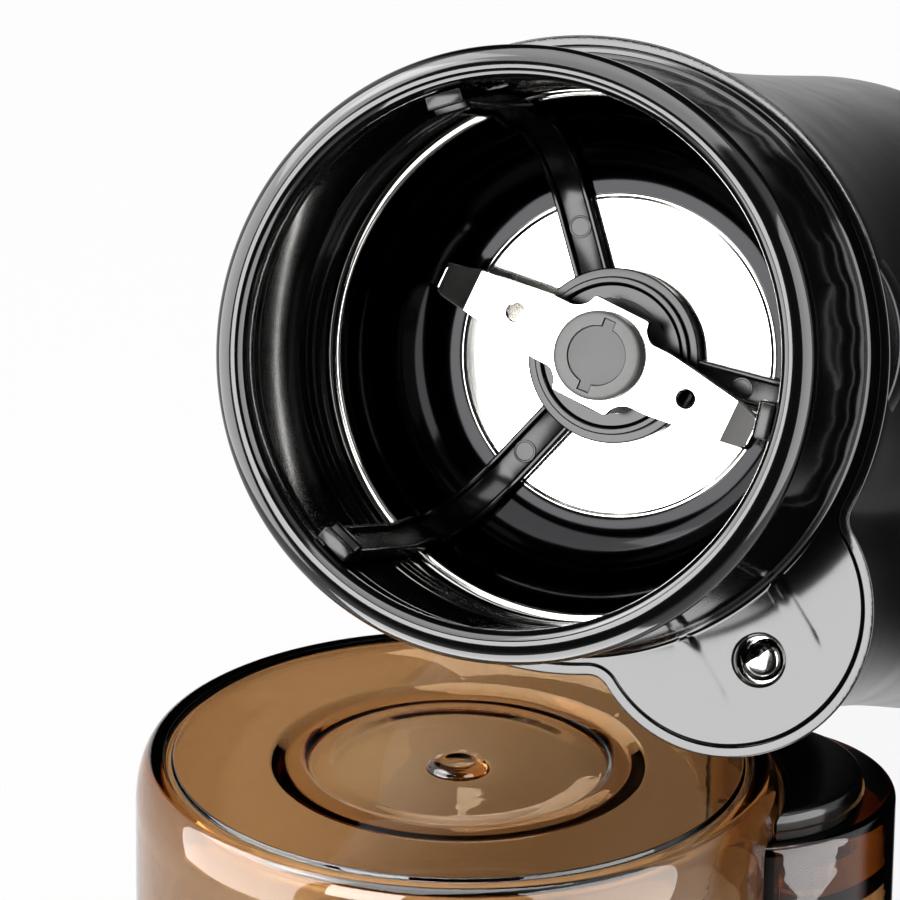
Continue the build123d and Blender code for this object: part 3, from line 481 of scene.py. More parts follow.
hub_grey = plain("nylon_grey_hub", "706F6E", "8C8B8A", 0.42, 0.5, 0.010)
cap_grey = plain("nylon_grey_cap", "4A4A4A", "585858", 0.38, 0.6, 0.004)
nylon_grey = plain("nylon_grey_moulded", "8C8C8B", "9C9C9A", 0.50, 0.6, 0.006)
nylon_black = plain("nylon_black_filled", "141414", "1D1D1D", 0.45, 0.5, 0.006)
phenolic = plain("phenolic_black_pressed", "181614", "231F1C", 0.40, 0.5, 0.006)
rubber = plain("rubber_black_moulded", "151515", "1E1E1E", 0.80, 0.4, 0.015)
iron = plain("electrical_sheet_stacked", "4A4B50", "5F6066", 0.42, 0.5, 0.010, 0.9)
copper = plain("copper_enamelled_wire", "8A3F1C", "A85528", 0.30, 0.5, 0.020, 0.8)
bronze = plain("bronze_sintered", "8E6A3A", "A27C49", 0.48, 0.3, 0.008, 1.0)
brass = plain("brass_pressed", "B28F47", "C4A258", 0.30, 0.8, 0.004, 1.0)
carbon = plain("carbon_pressed", "1B1B1C", "2A2A2B", 0.55, 0.3, 0.008)

NODE_FINISH = {
    abs_gloss: ["collar"],
    abs_satin: ["housing", "base_plate"],
    abs_button: ["lid_button"],
    nylon_wiper: ["wiper"],
    steel_spun: ["steel_bowl"],
    steel_ground: ["blade"],
    steel_turned: ["motor_shaft", "push_rod"],
    steel_zinc: ["upper_bracket", "lower_bracket", "motor_screws", "motor_spacers", "bracket_screws",
                 "base_screws", "switch_screws", "switch_lever", "button_clip"],
    spring_wire: ["button_spring", "brush_springs"],
    san_amber: ["lid_shell"],
    hub_grey: ["blade_hub"],
    cap_grey: ["blade_cap"],
    nylon_grey: ["blade_spacer", "cooling_fan"],
    nylon_black: ["bowl_ring_nut", "shaft_bush", "bush_nut"],
    phenolic: ["switch_body"],
    rubber: ["rubber_feet", "bowl_gasket", "motor_mounts", "cord_inlet", "shaft_seal"],
    iron: ["stator", "armature_core"],
    copper: ["field_coils", "armature_winding", "commutator"],
    bronze: ["upper_bearing", "lower_bearing"],
    brass: ["brush_holders"],
    carbon: ["brushes"],
}
for material, names in NODE_FINISH.items():
    for name in names:
        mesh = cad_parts[name].data
        mesh.materials.clear()
        mesh.materials.append(material)
dressed = {name for names in NODE_FINISH.values() for name in names}
print("nodes without a finish:", sorted(set(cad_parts) - dressed))

# %% [markdown]
# ## Tools for turned and skinned shapes
# Most of the grinder is round, so most pieces start as half a section that is spun round the axis.
# Corners of the section are rounded first, on the bare wire, with a vertex bevel: the spin then
# carries the round right round. Points are (radius, height) or (radius, height, rounding) in
# millimetres. The small functions before them only shorten what every shape needs.

# %% Small tools
WELD, LOOP_WELD = 0.001, 0.002


def weld(bm, apart=WELD):
    """Merges the points that lie closer together than a distance in millimetres."""
    bmesh.ops.remove_doubles(bm, verts=bm.verts, dist=apart)


def outward(bm):
    """Turns all faces outwards."""
    bmesh.ops.recalc_face_normals(bm, faces=bm.faces)


def shift(bm, x, y, z):
    """Moves a whole bmesh."""
    bmesh.ops.translate(bm, verts=bm.verts, vec=(x, y, z))


def turn_by(bm, angle, axis="Z"):
    """Turns a whole bmesh about an axis through zero."""
    bmesh.ops.rotate(bm, verts=bm.verts, cent=(0, 0, 0), matrix=Matrix.Rotation(angle, 3, axis))


def cut_at(bm, x, **more):
    """Cuts a whole bmesh across at a value of X."""
    bmesh.ops.bisect_plane(bm, geom=bm.verts[:] + bm.edges[:] + bm.faces[:], plane_co=(x, 0, 0),
                           plane_no=(1, 0, 0), **more)


def soften(bm, geom, offset, segments, affect="EDGES", **more):
    """Rounds edges, or the corners of a wire, by an even bevel."""
    bmesh.ops.bevel(bm, geom=geom, offset=offset, offset_type="OFFSET", segments=segments,
                    profile=0.5, affect=affect, material=-1, **more)


def box(bm, centre, sides):
    """Adds a block."""
    bmesh.ops.create_cube(bm, size=1.0, matrix=Matrix.Translation(centre) @ Matrix.Diagonal((*sides, 1)))


def fill(bm, edges, use_beauty=False):
    """Fills a flat outline with triangles."""
    bmesh.ops.triangle_fill(bm, edges=edges, use_beauty=use_beauty)


def open_edges(bm):
    """The edges with a face on one side only."""
    return [e for e in bm.edges if e.is_boundary]


def edges_of(verts):
    """The edges that meet some points."""
    return list({e for v in verts for e in v.link_edges})


def verts_in(geom):
    """The points among some geometry."""
    return [v for v in geom if isinstance(v, bmesh.types.BMVert)]


def middle(edge):
    """The point halfway along an edge."""
    return (edge.verts[0].co + edge.verts[1].co) / 2


def circle(bm, radius, z, at=0.0, segments=96, **more):
    """Adds a level circle and gives back its edges."""
    return edges_of(bmesh.ops.create_circle(bm, segments=segments, radius=radius,
                                            matrix=Matrix.Translation((at, 0, z)), **more)["verts"])


def leans(steps):
    """The angles of a quarter turn in equal steps."""
    return [pi / 2 * step / steps for step in range(steps + 1)]


def join(bm, other):
    """Adds one bmesh to another and frees it."""
    mesh = mesh_of(other, "part")
    bm.from_mesh(mesh)
    bpy.data.meshes.remove(mesh)


print("points closer than", WELD, "mm become one")

# %% Turned shapes
CORNER_STEPS = 6


def wire(bm, points, closed=False):
    """A chain of edges in the XZ plane, with its asked-for corners rounded."""
    spots = [(tuple(p) + (0.0,))[:3] for p in points]
    verts = [bm.verts.new((x, 0, z)) for x, z, _ in spots]
    pairs = list(zip(verts, verts[1:])) + ([(verts[-1], verts[0])] if closed else [])
    for pair in pairs:
        bm.edges.new(pair)
    for rounding in sorted({r for _, _, r in spots if r}):
        corners = [v for v, (_, _, r) in zip(verts, spots) if r == rounding]
        soften(bm, corners, rounding, CORNER_STEPS, "VERTICES")


def spun(section, steps):
    """Spins a section right round the Z axis."""
    bmesh.ops.spin(section, geom=section.verts[:] + section.edges[:], cent=(0, 0, 0),
                   axis=(0, 0, 1), angle=2 * pi, steps=steps, use_merge=True)
    weld(section)


def turned(bm, points, steps=160):
    """Adds a spun wire; it is closed, or starts and ends on the axis."""
    section = bmesh.new()
    wire(section, points, closed=bool(points[0][0] or points[-1][0]))
    spun(section, steps)
    join(bm, section)


print("a rounded corner has", CORNER_STEPS, "steps")

# %% Pieces
def piece(bm, name, place, material, body, nodes, sharp=32.0):
    """Makes a finished piece of a bmesh in millimetres: it rides on a body and stands for CAD nodes."""
    weld(bm)
    outward(bm)
    bmesh.ops.transform(bm, matrix=Matrix.Scale(MM, 4) @ place, verts=bm.verts)
    mesh = mesh_of(bm, name)
    mesh.shade_smooth()
    mesh.set_sharp_from_angle(angle=radians(sharp))
    mesh.materials.append(material)
    made = placed(name, mesh)
    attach(made, body)
    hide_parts(*nodes)
    along = [[v.co[i] for v in mesh.vertices] for i in range(3)]
    size = [round((max(side) - min(side)) / MM, 1) for side in along]
    print(name, "faces", len(mesh.polygons), "size in mm", size)
    return made


# %% [markdown]
# ## The plan that body, deck and lid share
# Seen from the front, the grinder is a circle with a smaller lobe, and two hollow corners join them.
# Each of the four arcs is one point spun about its own centre. The corners touch both circles, and
# their centres follow from three distances, so a plan that is drawn in by a wall keeps its shape.

# %% Shared plan
MAIN_R, LOBE_R, LOBE_AT, CORNER_R = 43.6, 20.2, 40.4, 3.0


def arc(loop, centre, radius, start, sweep, steps, z):
    """Adds an arc of edges: its first point, spun about a centre at height z."""
    first = (centre[0] + radius * cos(start), centre[1] + radius * sin(start), z)
    bmesh.ops.spin(loop, geom=[loop.verts.new(first)], cent=(*centre, z), axis=(0, 0, 1),
                   angle=sweep, steps=steps)


def outline(bm, loop):
    """Closes a loop's gaps, adds it to a bmesh and gives back its edges there."""
    weld(loop, LOOP_WELD)
    before = len(bm.edges)
    join(bm, loop)
    bm.edges.ensure_lookup_table()
    return bm.edges[before:]


def plan(bm, inset_main, inset_lobe, z, main_steps=132, lobe_steps=56, corner_steps=10):
    """One closed loop of edges: the plan drawn in by an inset on the circle and one on the lobe."""
    main, lobe = MAIN_R - inset_main, LOBE_R - inset_lobe
    corner = CORNER_R + (inset_main + inset_lobe) / 2
    x = ((main + corner) ** 2 - (lobe + corner) ** 2 + LOBE_AT ** 2) / (2 * LOBE_AT)
    y = sqrt((main + corner) ** 2 - x * x)
    at_main, at_lobe = atan2(y, x), atan2(y, x - LOBE_AT)
    loop = bmesh.new()
    arc(loop, (0, 0), main, at_main, 2 * (pi - at_main), main_steps, z)
    arc(loop, (x, -y), corner, -at_lobe - pi, at_lobe - at_main, corner_steps, z)
    arc(loop, (LOBE_AT, 0), lobe, -at_lobe, 2 * at_lobe, lobe_steps, z)
    arc(loop, (x, y), corner, at_main + pi, at_lobe - at_main, corner_steps, z)
    return outline(bm, loop)


def skin(bm, rings):
    """Bridges each loop of a row to the next."""
    for near, far in zip(rings, rings[1:]):
        bmesh.ops.bridge_loops(bm, edges=near + far)


# %% [markdown]
# ## Housing
# The housing is a tall cup with a waist. Its walls draw in below the rim, come back to full width at
# the base, and the lobe draws in more than the circle. It is skinned over loops of the shared plan.
# A smooth curve through four stations says how far each loop is drawn in. The loops go down the
# outside, turn under the foot and come back up the inside, so the wall has its real thickness.

# %% Housing
BODY_H, WALL, DECK_T, RIM_BAND = 142.5, 2.2, 3.0, 1.4
STATIONS = [(0.0, 0.0, 0.0), (-24.0, 1.54, 3.2), (-74.0, 2.2, 4.0), (-142.5, 0.22, 0.4)]
EDGE_ROUND, FOOT_ROUND, ROUND_STEPS, LEVELS = 0.25, 0.8, 6, 26
HAIR, RIM_SOFT = 0.01, 0.12
INSIDE_LEVELS = (-BODY_H + HAIR, -BODY_H + 6, -110, -80, -50, -25, -DECK_T - HAIR)


def drawn_in(z, which):
    """The smooth curve through the stations, for the circle (1) or the lobe (2)."""
    total = 0.0
    for i, here in enumerate(STATIONS):
        share = 1.0
        for j, other in enumerate(STATIONS):
            if j != i:
                share *= (z - other[0]) / (here[0] - other[0])
        total += share * here[which]
    return total


def housing_loop(bm, z, inset):
    """The plan at a height of the housing, drawn in by the curve and an inset."""
    return plan(bm, drawn_in(z, 1) + inset, drawn_in(z, 2) + inset, z)


bm = bmesh.new()
rings = [housing_loop(bm, -EDGE_ROUND * (1 - cos(lean)), EDGE_ROUND * (1 - sin(lean)))
         for lean in leans(ROUND_STEPS)]
rings += [housing_loop(bm, -BODY_H * i / LEVELS, 0.0) for i in range(1, LEVELS)]
rings += [housing_loop(bm, -BODY_H + FOOT_ROUND * (1 - sin(lean)),
                       FOOT_ROUND * (1 - cos(lean))) for lean in leans(ROUND_STEPS)]
rings += [housing_loop(bm, z, WALL) for z in INSIDE_LEVELS]
rings += [plan(bm, RIM_BAND, RIM_BAND, z) for z in (-DECK_T, -RIM_SOFT)]
rings.append(plan(bm, RIM_BAND - RIM_SOFT, RIM_BAND - RIM_SOFT, -HAIR))
skin(bm, rings + rings[:1])

# The crescent on the rim is part of a disc that leans out of the wall.
TAB_TURN, TAB_ROUND, TAB_REACH, TAB_TALL = radians(62.0), 18.0, 1.5, 7.0
TAB_SUNK, TAB_SOFT, TAB_ROOT = 0.5, 0.5, 3.2
tab = bmesh.new()
bmesh.ops.create_cone(tab, cap_ends=True, segments=160, radius1=TAB_ROUND, radius2=TAB_ROUND,
                      depth=TAB_TALL)
level = [e for e in tab.edges if abs(e.verts[0].co.z - e.verts[1].co.z) < HAIR]
soften(tab, level, TAB_SOFT, 4)
shift(tab, MAIN_R + TAB_REACH - TAB_ROUND, 0, -TAB_SUNK - TAB_TALL / 2)
cut_at(tab, MAIN_R - TAB_ROOT, clear_inner=True)
bmesh.ops.holes_fill(tab, edges=open_edges(tab))
turn_by(tab, TAB_TURN)
join(bm, tab)
piece(bm, "housing_shell", BODY, abs_satin, "body", ["housing"])

# %% [markdown]
# ## Collar
# Neck, lip and deck are one glossy moulding. The neck is turned: a thick round lip, a groove inside
# it, and three fine ridges above the bowl. The deck is skinned from the neck's foot out to the plan,
# on a fine grid, because the two soft swellings beside the switch hole are pushed up out of it.

# %% Collar
NECK_H, NECK_R, LIP_R, CREST_R, LIP_THICK, CHAMBER_R = 35.5, 40.4, 41.0, 38.0, 4.6, 36.3
BAND_DEPTH, RIDGE_H, NECK_ROOT, SEAM, ROOT_SEAM = 0.6, 0.5, 0.9, 0.12, 0.04
FLANGE_LOW, SKIRT_LOW, SKIRT_WALL = -4.7, -12.0, 2.0
ROD_AT, ROD_HOLE_R = 48.5, 3.2
ROUND_OF, DECK_STEPS, SPOKE_CUTS = 216, (216, 160, 16), 50
DECK_EDGE = ((0.0, -DECK_T), (0.0, -0.25), (0.07, -0.07), (0.25, 0.0))
lip_z = NECK_H - LIP_THICK / 2
lip_in = LIP_R - LIP_THICK
band_r = CHAMBER_R + BAND_DEPTH

bm = bmesh.new()
inner_end = bm.verts.new((-1, 0, 0))
bmesh.ops.spin(bm, geom=[inner_end], cent=(0, 0, 0), axis=(0, 1, 0), angle=pi, steps=32)
for reach, half in ((LIP_R - CREST_R, [v for v in bm.verts if v.co.x > WELD]),
                    (CREST_R - lip_in, [v for v in bm.verts if v.co.x < -WELD])):
    bmesh.ops.scale(bm, verts=half, vec=(reach, 1, 1))
bmesh.ops.scale(bm, verts=bm.verts, vec=(1, 1, LIP_THICK / 2))
shift(bm, CREST_R, 0, lip_z)
wire(bm, [(LIP_R, lip_z), (LIP_R, lip_z - 1.2, 0.5), (NECK_R, lip_z - 2.6, 0.8), (NECK_R, NECK_ROOT)])
wire(bm, [(NECK_R, -DECK_T), (NECK_R, SKIRT_LOW), (NECK_R - SKIRT_WALL, SKIRT_LOW),
          (NECK_R - SKIRT_WALL, FLANGE_LOW), (CHAMBER_R, FLANGE_LOW),
          (CHAMBER_R, 1.6), (CHAMBER_R + RIDGE_H, 2.6, 0.3), (CHAMBER_R, 4.1, 0.3),
          (CHAMBER_R + RIDGE_H, 5.6, 0.3), (CHAMBER_R, 7.1, 0.3),
          (band_r, 9.0, 0.5), (band_r, lip_z - 6.0, 0.4), (band_r + RIDGE_H, lip_z - 5.0, 0.3),
          (band_r + RIDGE_H, lip_z - 2.2, 0.6), (lip_in, lip_z)])
weld(bm)
spun(bm, ROUND_OF)

deck = bmesh.new()
inset = RIM_BAND + SEAM
rings = [plan(deck, inset + more, inset + more, z, *DECK_STEPS) for more, z in DECK_EDGE]
skin(deck, rings)
rim = rings[-1]
foot_verts = verts_in(bmesh.ops.extrude_edge_only(deck, edges=rim)["geom"])
for vert in foot_verts:
    vert.co = Vector((vert.co.x, vert.co.y, 0)).normalized() * (NECK_R + NECK_ROOT)
rim_verts = {v for e in rim for v in e.verts}
spokes = [e for v in foot_verts for e in v.link_edges if e.other_vert(v) in rim_verts]
bmesh.ops.subdivide_edges(deck, edges=spokes, cuts=SPOKE_CUTS, use_grid_fill=True)
root = [e for e in open_edges(deck) if e.verts[0].co.z > -HAIR
        and middle(e).length < NECK_R + NECK_ROOT + HAIR]
for lean in leans(5)[1:]:
    radius, height = NECK_ROOT * (1 - sin(lean)), NECK_ROOT * (1 - cos(lean))
    grown = bmesh.ops.extrude_edge_only(deck, edges=root)["geom"]
    root = [e for e in grown if isinstance(e, bmesh.types.BMEdge)]
    for vert in {v for e in root for v in e.verts}:
        flat = Vector((vert.co.x, vert.co.y, 0)).normalized() * (NECK_R + radius)
        vert.co = flat + Vector((0, 0, min(height, NECK_ROOT - ROOT_SEAM)))
print("deck grid faces:", len(deck.faces))

# %% [markdown]
# The hole for the switch rod is cut where the grid is nearest, then a round edge is bridged to the
# gap: a ring, a small rounding and a straight wall. The ring lies a hair below the deck, because the
# bridge to a flush one would close the hole. The two swellings are soft-edged capsules: every deck
# point near a capsule's line is lifted by a smooth share of its height.

# %% Rod hole and swellings
RIB_Y, RIB_FROM, RIB_TO, RIB_HALF_W, RIB_H, RIB_FADE = 7.5, 41.5, 50.0, 1.6, 0.10, 3.0
SWITCH_WALL_AT, SWITCH_WALL_T, SWITCH_WALL_W, SWITCH_WALL_LOW = 43.2, 1.6, 20.0, -34.0
HOLE_SOFT, GAP_MORE, TORN_WITHIN, LEDGE, LEDGE_LOW = 0.6, 0.35, 2.0, 1.6, -3.6
hole_edge = ROD_HOLE_R + HOLE_SOFT
hole_rings = ((hole_edge, -HAIR), (hole_edge - 0.12, -0.03), (hole_edge - 0.3, -0.09),
              (ROD_HOLE_R + 0.14, -0.28), (ROD_HOLE_R + 0.03, -0.48), (ROD_HOLE_R, -0.75),
              (ROD_HOLE_R, LEDGE_LOW), (ROD_HOLE_R + LEDGE, LEDGE_LOW), (ROD_HOLE_R + LEDGE, -DECK_T))
hole_at = Vector((ROD_AT, 0, 0))

gap = [f for f in deck.faces if f.normal.z != 0 and f.calc_center_median().z > -HAIR
       and (f.calc_center_median() - hole_at).length < hole_edge + GAP_MORE]
bmesh.ops.delete(deck, geom=gap, context="FACES")
torn = [e for e in open_edges(deck) if (middle(e) - hole_at).length < hole_edge + TORN_WITHIN]
for vert in deck.verts:
    if abs(vert.co.z) < WELD:
        past = max(RIB_FROM - vert.co.x, 0.0, vert.co.x - RIB_TO + RIB_HALF_W)
        near = hypot(abs(vert.co.y) - RIB_Y, past / RIB_FADE) / RIB_HALF_W
        if near < 1:
            vert.co.z += RIB_H * (1 - near ** 2) ** 1.5
skin(deck, [torn] + [circle(deck, radius, height, ROD_AT, 64) for radius, height in hole_rings])
join(bm, deck)


def open_rim(bm, low, high):
    """The open edges between two heights."""
    return [e for e in open_edges(bm) if low < middle(e).z < high]


bmesh.ops.bridge_loops(bm, edges=open_rim(bm, NECK_ROOT - 0.06, NECK_ROOT + 0.02))
fill(bm, open_rim(bm, -DECK_T - HAIR, -DECK_T + HAIR))
wall_h = -DECK_T - SWITCH_WALL_LOW
box(bm, (SWITCH_WALL_AT, 0, SWITCH_WALL_LOW + wall_h / 2), (SWITCH_WALL_T, SWITCH_WALL_W, wall_h))
print("open edges of the collar:", len(open_edges(bm)))
piece(bm, "collar_moulding", BODY, abs_gloss, "body", ["collar"])

# %% [markdown]
# ## Steel bowl
# The bowl is one sheet, spun over a form: a flat floor, a side that rises as a quarter ellipse, and a
# rim turned outwards under the neck. Floor and side meet in a small pressed step. The step, together
# with the painted dark reflection that starts inside it, draws the thin dark ring round the bright
# floor. The section is a closed loop, so the sheet has its thickness.

# %% Steel bowl
BOWL_TOP, BOWL_FLOOR, RIM_R, FLOOR_R, SHEET, STRAIGHT = -5.5, -22.5, 35.4, 21.9, 0.8, 2.0
FLANGE_R, BUSH_HOLE_R, STEP_W, STEP_DEEP = 38.4, 5.95, 0.9, 0.10


def quarter(bm, centre, wide, tall):
    """A quarter ellipse in the XZ plane, from straight below its centre to straight beside it."""
    curve = bmesh.new()
    bmesh.ops.spin(curve, geom=[curve.verts.new((0, 0, -1))], cent=(0, 0, 0), axis=(0, -1, 0),
                   angle=pi / 2, steps=30)
    bmesh.ops.scale(curve, verts=curve.verts, vec=(wide, 1, tall))
    shift(curve, centre[0], 0, centre[1])
    join(bm, curve)


bm = bmesh.new()
bend = BOWL_TOP - STRAIGHT
step_r = FLOOR_R + STEP_W
low = BOWL_FLOOR - SHEET
quarter(bm, (step_r, bend), RIM_R - step_r, bend - BOWL_FLOOR)
quarter(bm, (step_r, bend), RIM_R + SHEET - step_r, bend - low)
wire(bm, [(step_r, BOWL_FLOOR), (FLOOR_R + STEP_W / 2, BOWL_FLOOR - STEP_DEEP, 0.15),
          (FLOOR_R, BOWL_FLOOR, 0.1), (BUSH_HOLE_R, BOWL_FLOOR), (BUSH_HOLE_R, low), (step_r, low)])
wire(bm, [(RIM_R, bend), (RIM_R, BOWL_TOP, 0.55), (FLANGE_R, BOWL_TOP), (FLANGE_R, BOWL_TOP - SHEET),
          (RIM_R + SHEET, BOWL_TOP - SHEET, 0.3), (RIM_R + SHEET, bend)])
weld(bm)
spun(bm, ROUND_OF)
piece(bm, "bowl_spun", BODY, steel_spun, "body", ["steel_bowl"])

# %% [markdown]
# ## Wiper
# A loose ring with three arms sweeps grounds off the wall. Each arm is a channel: it runs out along
# the floor, bends up the side, leans out to the wider neck above the bowl and ends in a block near the
# lip. A strip in the arm's side view is widened, given its thickness, and its inner faces are inset
# and sunk: that leaves the two thin walls of the channel. A round mark in each channel is where a pin
# pushed the moulding out of its tool.

# %% Wiper
RING_R, RING_H, RING_BORE, WIPER_GAP = 12.2, 3.4, 8.06, 0.5
ARM_W, ARM_T, ARM_RIB, ARM_FLOOR, ARM_BELOW, ARM_GAP = 5.0, 1.9, 0.75, 0.9, 2.0, 0.2
ARM_SOFT, SUNK_SLOPE, WIPER_TURN = 0.22, 0.04, radians(44.0)
BLOCK_IN, BLOCK_TALL, BLOCK_SLOPE, BLOCK_SOFT = 2.8, 4.0, 2.7, 0.4
PIN_AT, PIN_R, PIN_H, PIN_RISE = 18.6, 1.6, 0.16, 0.08
TO_AXIS = Vector((-1, 0, 1))
ring_low = BOWL_FLOOR + WIPER_GAP
ring_top = ring_low + RING_H
arm_top = NECK_H - ARM_BELOW
arm_wall = RIM_R - WIPER_GAP
arm_high = CHAMBER_R - ARM_GAP


def wiper_arm():
    """One arm along +X: path, width, thickness, channel, pin mark and end block."""
    arm = bmesh.new()
    quarter(arm, (FLOOR_R, bend), arm_wall - FLOOR_R, bend - ring_low)
    wire(arm, [(RING_R - 2.0, ring_low), (FLOOR_R - 3.5, ring_low), (FLOOR_R, ring_low)])
    wire(arm, [(arm_wall, bend), (arm_wall, -4.0)]
         + [(arm_high, z) for z in (1.0, 12.0, 22.0, arm_top - 6.0, arm_top)])
    weld(arm)
    shift(arm, 0, -ARM_W / 2, 0)
    wide = bmesh.ops.extrude_edge_only(arm, edges=arm.edges[:])["geom"]
    bmesh.ops.translate(arm, verts=verts_in(wide), vec=(0, ARM_W, 0))
    outward(arm)
    if sum(f.normal.dot(TO_AXIS) for f in arm.faces) < 0:
        bmesh.ops.reverse_faces(arm, faces=arm.faces)
    bmesh.ops.solidify(arm, geom=arm.faces[:], thickness=-ARM_T)
    outward(arm)
    inner = [f for f in arm.faces if f.normal.dot(TO_AXIS) > 0.6
             and abs(f.normal.y) < 0.1 and f.calc_center_median().x > RING_R + 0.7
             and f.calc_center_median().z < arm_top - BLOCK_TALL]
    for inwards, deeper in ((ARM_RIB, 0.0), (SUNK_SLOPE, ARM_FLOOR - ARM_T)):
        bmesh.ops.inset_region(arm, faces=[f for f in inner if f.is_valid], thickness=inwards,
                               depth=deeper, use_boundary=True, use_even_offset=True)
    ridges = [e for e in arm.edges if len(e.link_faces) == 2 and e.calc_face_angle() > radians(55)]
    soften(arm, ridges, ARM_SOFT, 3, clamp_overlap=True)
    mark = bmesh.new()
    wire(mark, [(0, -0.4), (PIN_R, -0.4), (PIN_R, PIN_H, 0.08), (PIN_R - 0.25, PIN_H),
                (PIN_R - 0.35, PIN_RISE), (0, PIN_RISE)])
    spun(mark, 40)
    shift(mark, PIN_AT, 0, ring_low + ARM_FLOOR)
    join(arm, mark)
    block = bmesh.new()
    box(block, (arm_high - BLOCK_IN / 2, 0, arm_top - BLOCK_TALL / 2), (BLOCK_IN, ARM_W, BLOCK_TALL))
    for vert in block.verts:
        if vert.co.z > arm_top - 1 and vert.co.x < arm_high - 1:
            vert.co.z -= BLOCK_SLOPE
    soften(block, block.edges[:], BLOCK_SOFT, 3)
    join(arm, block)
    return arm


bm = bmesh.new()
turned(bm, [(RING_BORE, ring_low), (RING_R, ring_low), (RING_R, ring_top - 1.0, 0.2),
            (RING_R - 1.2, ring_top - 1.0), (RING_R - 1.2, ring_top, 0.2),
            (RING_R - 2.1, ring_top, 0.2), (RING_R - 2.5, ring_top - 0.35),
            (RING_BORE, ring_top - 0.35)], 144)
for turn in range(3):
    arm = wiper_arm()
    turn_by(arm, WIPER_TURN + radians(120) * turn)
    join(bm, arm)
piece(bm, "wiper_moulding", BODY, nylon_wiper, "wiper_ring", ["wiper"], 30.0)

# %% [markdown]
# ## Blade
# The blade is cut from flat sheet: a squarish middle, two arms that taper, a hole in each, and tips
# bent up. Half of its edge is drawn as a wire whose corners are rounded. Wire and hole are filled
# together to one flat face, cut across at the bend, pulled up to the sheet's thickness, and then the
# tip is turned up. The other half is the same shape turned about the shaft.

# %% Blade
BLADE_Z, BLADE_T, BLADE_BEND, BLADE_TIP = -14.0, 1.4, 20.4, 25.4
ROOT_W, TIP_W, MIDDLE, MIDDLE_W, BLADE_RISE = 4.6, 3.1, 4.2, 7.2, radians(28.0)
BLADE_HOLE_AT, BLADE_HOLE_R, BLADE_SOFT, END_SHARE, TAPER_FROM = 13.5, 1.35, 0.10, 0.72, 0.45
BEND_CUTS = ((-0.35, 0.25), (0.0, 0.5), (0.35, 0.25))


def blade_half():
    """From the shaft's centre line out to one tip."""
    half = bmesh.new()
    end_w, taper_at = TIP_W * END_SHARE, BLADE_BEND * TAPER_FROM
    edge = [(0, -MIDDLE_W), (MIDDLE, -MIDDLE_W, 0.3), (MIDDLE + 0.6, -ROOT_W - 1.1, 0.7),
            (MIDDLE + 2.2, -ROOT_W, 0.8), (taper_at, -ROOT_W, 1.0), (BLADE_BEND, -TIP_W),
            (BLADE_TIP, -end_w, 1.0), (BLADE_TIP, end_w, 1.0), (BLADE_BEND, TIP_W),
            (taper_at, ROOT_W, 1.0), (MIDDLE + 1.5, ROOT_W, 0.5),
            (MIDDLE + 0.3, ROOT_W + 1.2, 0.5), (MIDDLE, MIDDLE_W, 0.3), (0, MIDDLE_W)]
    wire(half, edge, closed=True)
    turn_by(half, -pi / 2, "X")
    circle(half, BLADE_HOLE_R, 0, BLADE_HOLE_AT, 36)
    fill(half, half.edges[:], use_beauty=True)
    for cut, _ in BEND_CUTS:
        cut_at(half, BLADE_BEND + cut)
    outward(half)
    up = bmesh.ops.extrude_face_region(half, geom=half.faces[:])["geom"]
    bmesh.ops.translate(half, verts=verts_in(up), vec=(0, 0, BLADE_T))
    centre_wall = [f for f in half.faces if all(abs(v.co.x) < WELD for v in f.verts)]
    bmesh.ops.delete(half, geom=centre_wall, context="FACES")
    for cut, share in BEND_CUTS:
        tip = [v for v in half.verts if v.co.x > BLADE_BEND + cut * cos(BLADE_RISE / 2) - 0.02]
        bmesh.ops.rotate(half, verts=tip, cent=(BLADE_BEND + cut, 0, BLADE_T / 2),
                         matrix=Matrix.Rotation(-BLADE_RISE * share, 3, "Y"))
    return half


bm = bmesh.new()
for turn in (0, pi):
    half = blade_half()
    turn_by(half, turn)
    join(bm, half)
weld(bm)
outward(bm)
rim = [e for e in bm.edges if len(e.link_faces) == 2 and e.calc_face_angle() > radians(60)]
soften(bm, rim, BLADE_SOFT, 2)
turn_by(bm, BLADE_TURN)
shift(bm, 0, 0, BLADE_Z)
piece(bm, "blade_ground", BODY, steel_ground, "rotor", ["blade"], 5.0)

# %% [markdown]
# ## Hub and cap
# A light grey ring holds the blade down. Its top has a sunken round with two ears, where a key turns
# it, and a darker cap fills that round. Both outlines come from one keyed wire: an arc for each side
# and three straight runs for each ear.

# %% Hub and cap
HUB_R, HUB_H, CAP_R, CAP_H, EAR_W, EAR_REACH = 6.2, 2.2, 4.2, 1.3, 1.8, 5.3
HUB_TURN, HUB_SOFT, CAP_GAP, CAP_DOWN, CAP_SOFT = radians(36.0), 0.5, 0.06, 0.35, 0.10
hub_low = BLADE_Z + BLADE_T
hub_top = hub_low + HUB_H


def keyed(bm, grow, z):
    """The closed outline of a round with two square ears along Y."""
    loop = bmesh.new()
    radius, half, reach = CAP_R + grow, EAR_W / 2 + grow, EAR_REACH + grow
    meet = asin(half / radius)
    for side, way in ((0, 1), (pi, -1)):
        arc(loop, (0, 0), radius, side - pi / 2 + meet, pi - 2 * meet, 28, z)
        corners = [loop.verts.new((x * way, y * way, z)) for x, y in (
            (half, radius * cos(meet)), (half, reach), (-half, reach),
            (-half, radius * cos(meet)))]
        for pair in zip(corners, corners[1:]):
            loop.edges.new(pair)
    return outline(bm, loop)


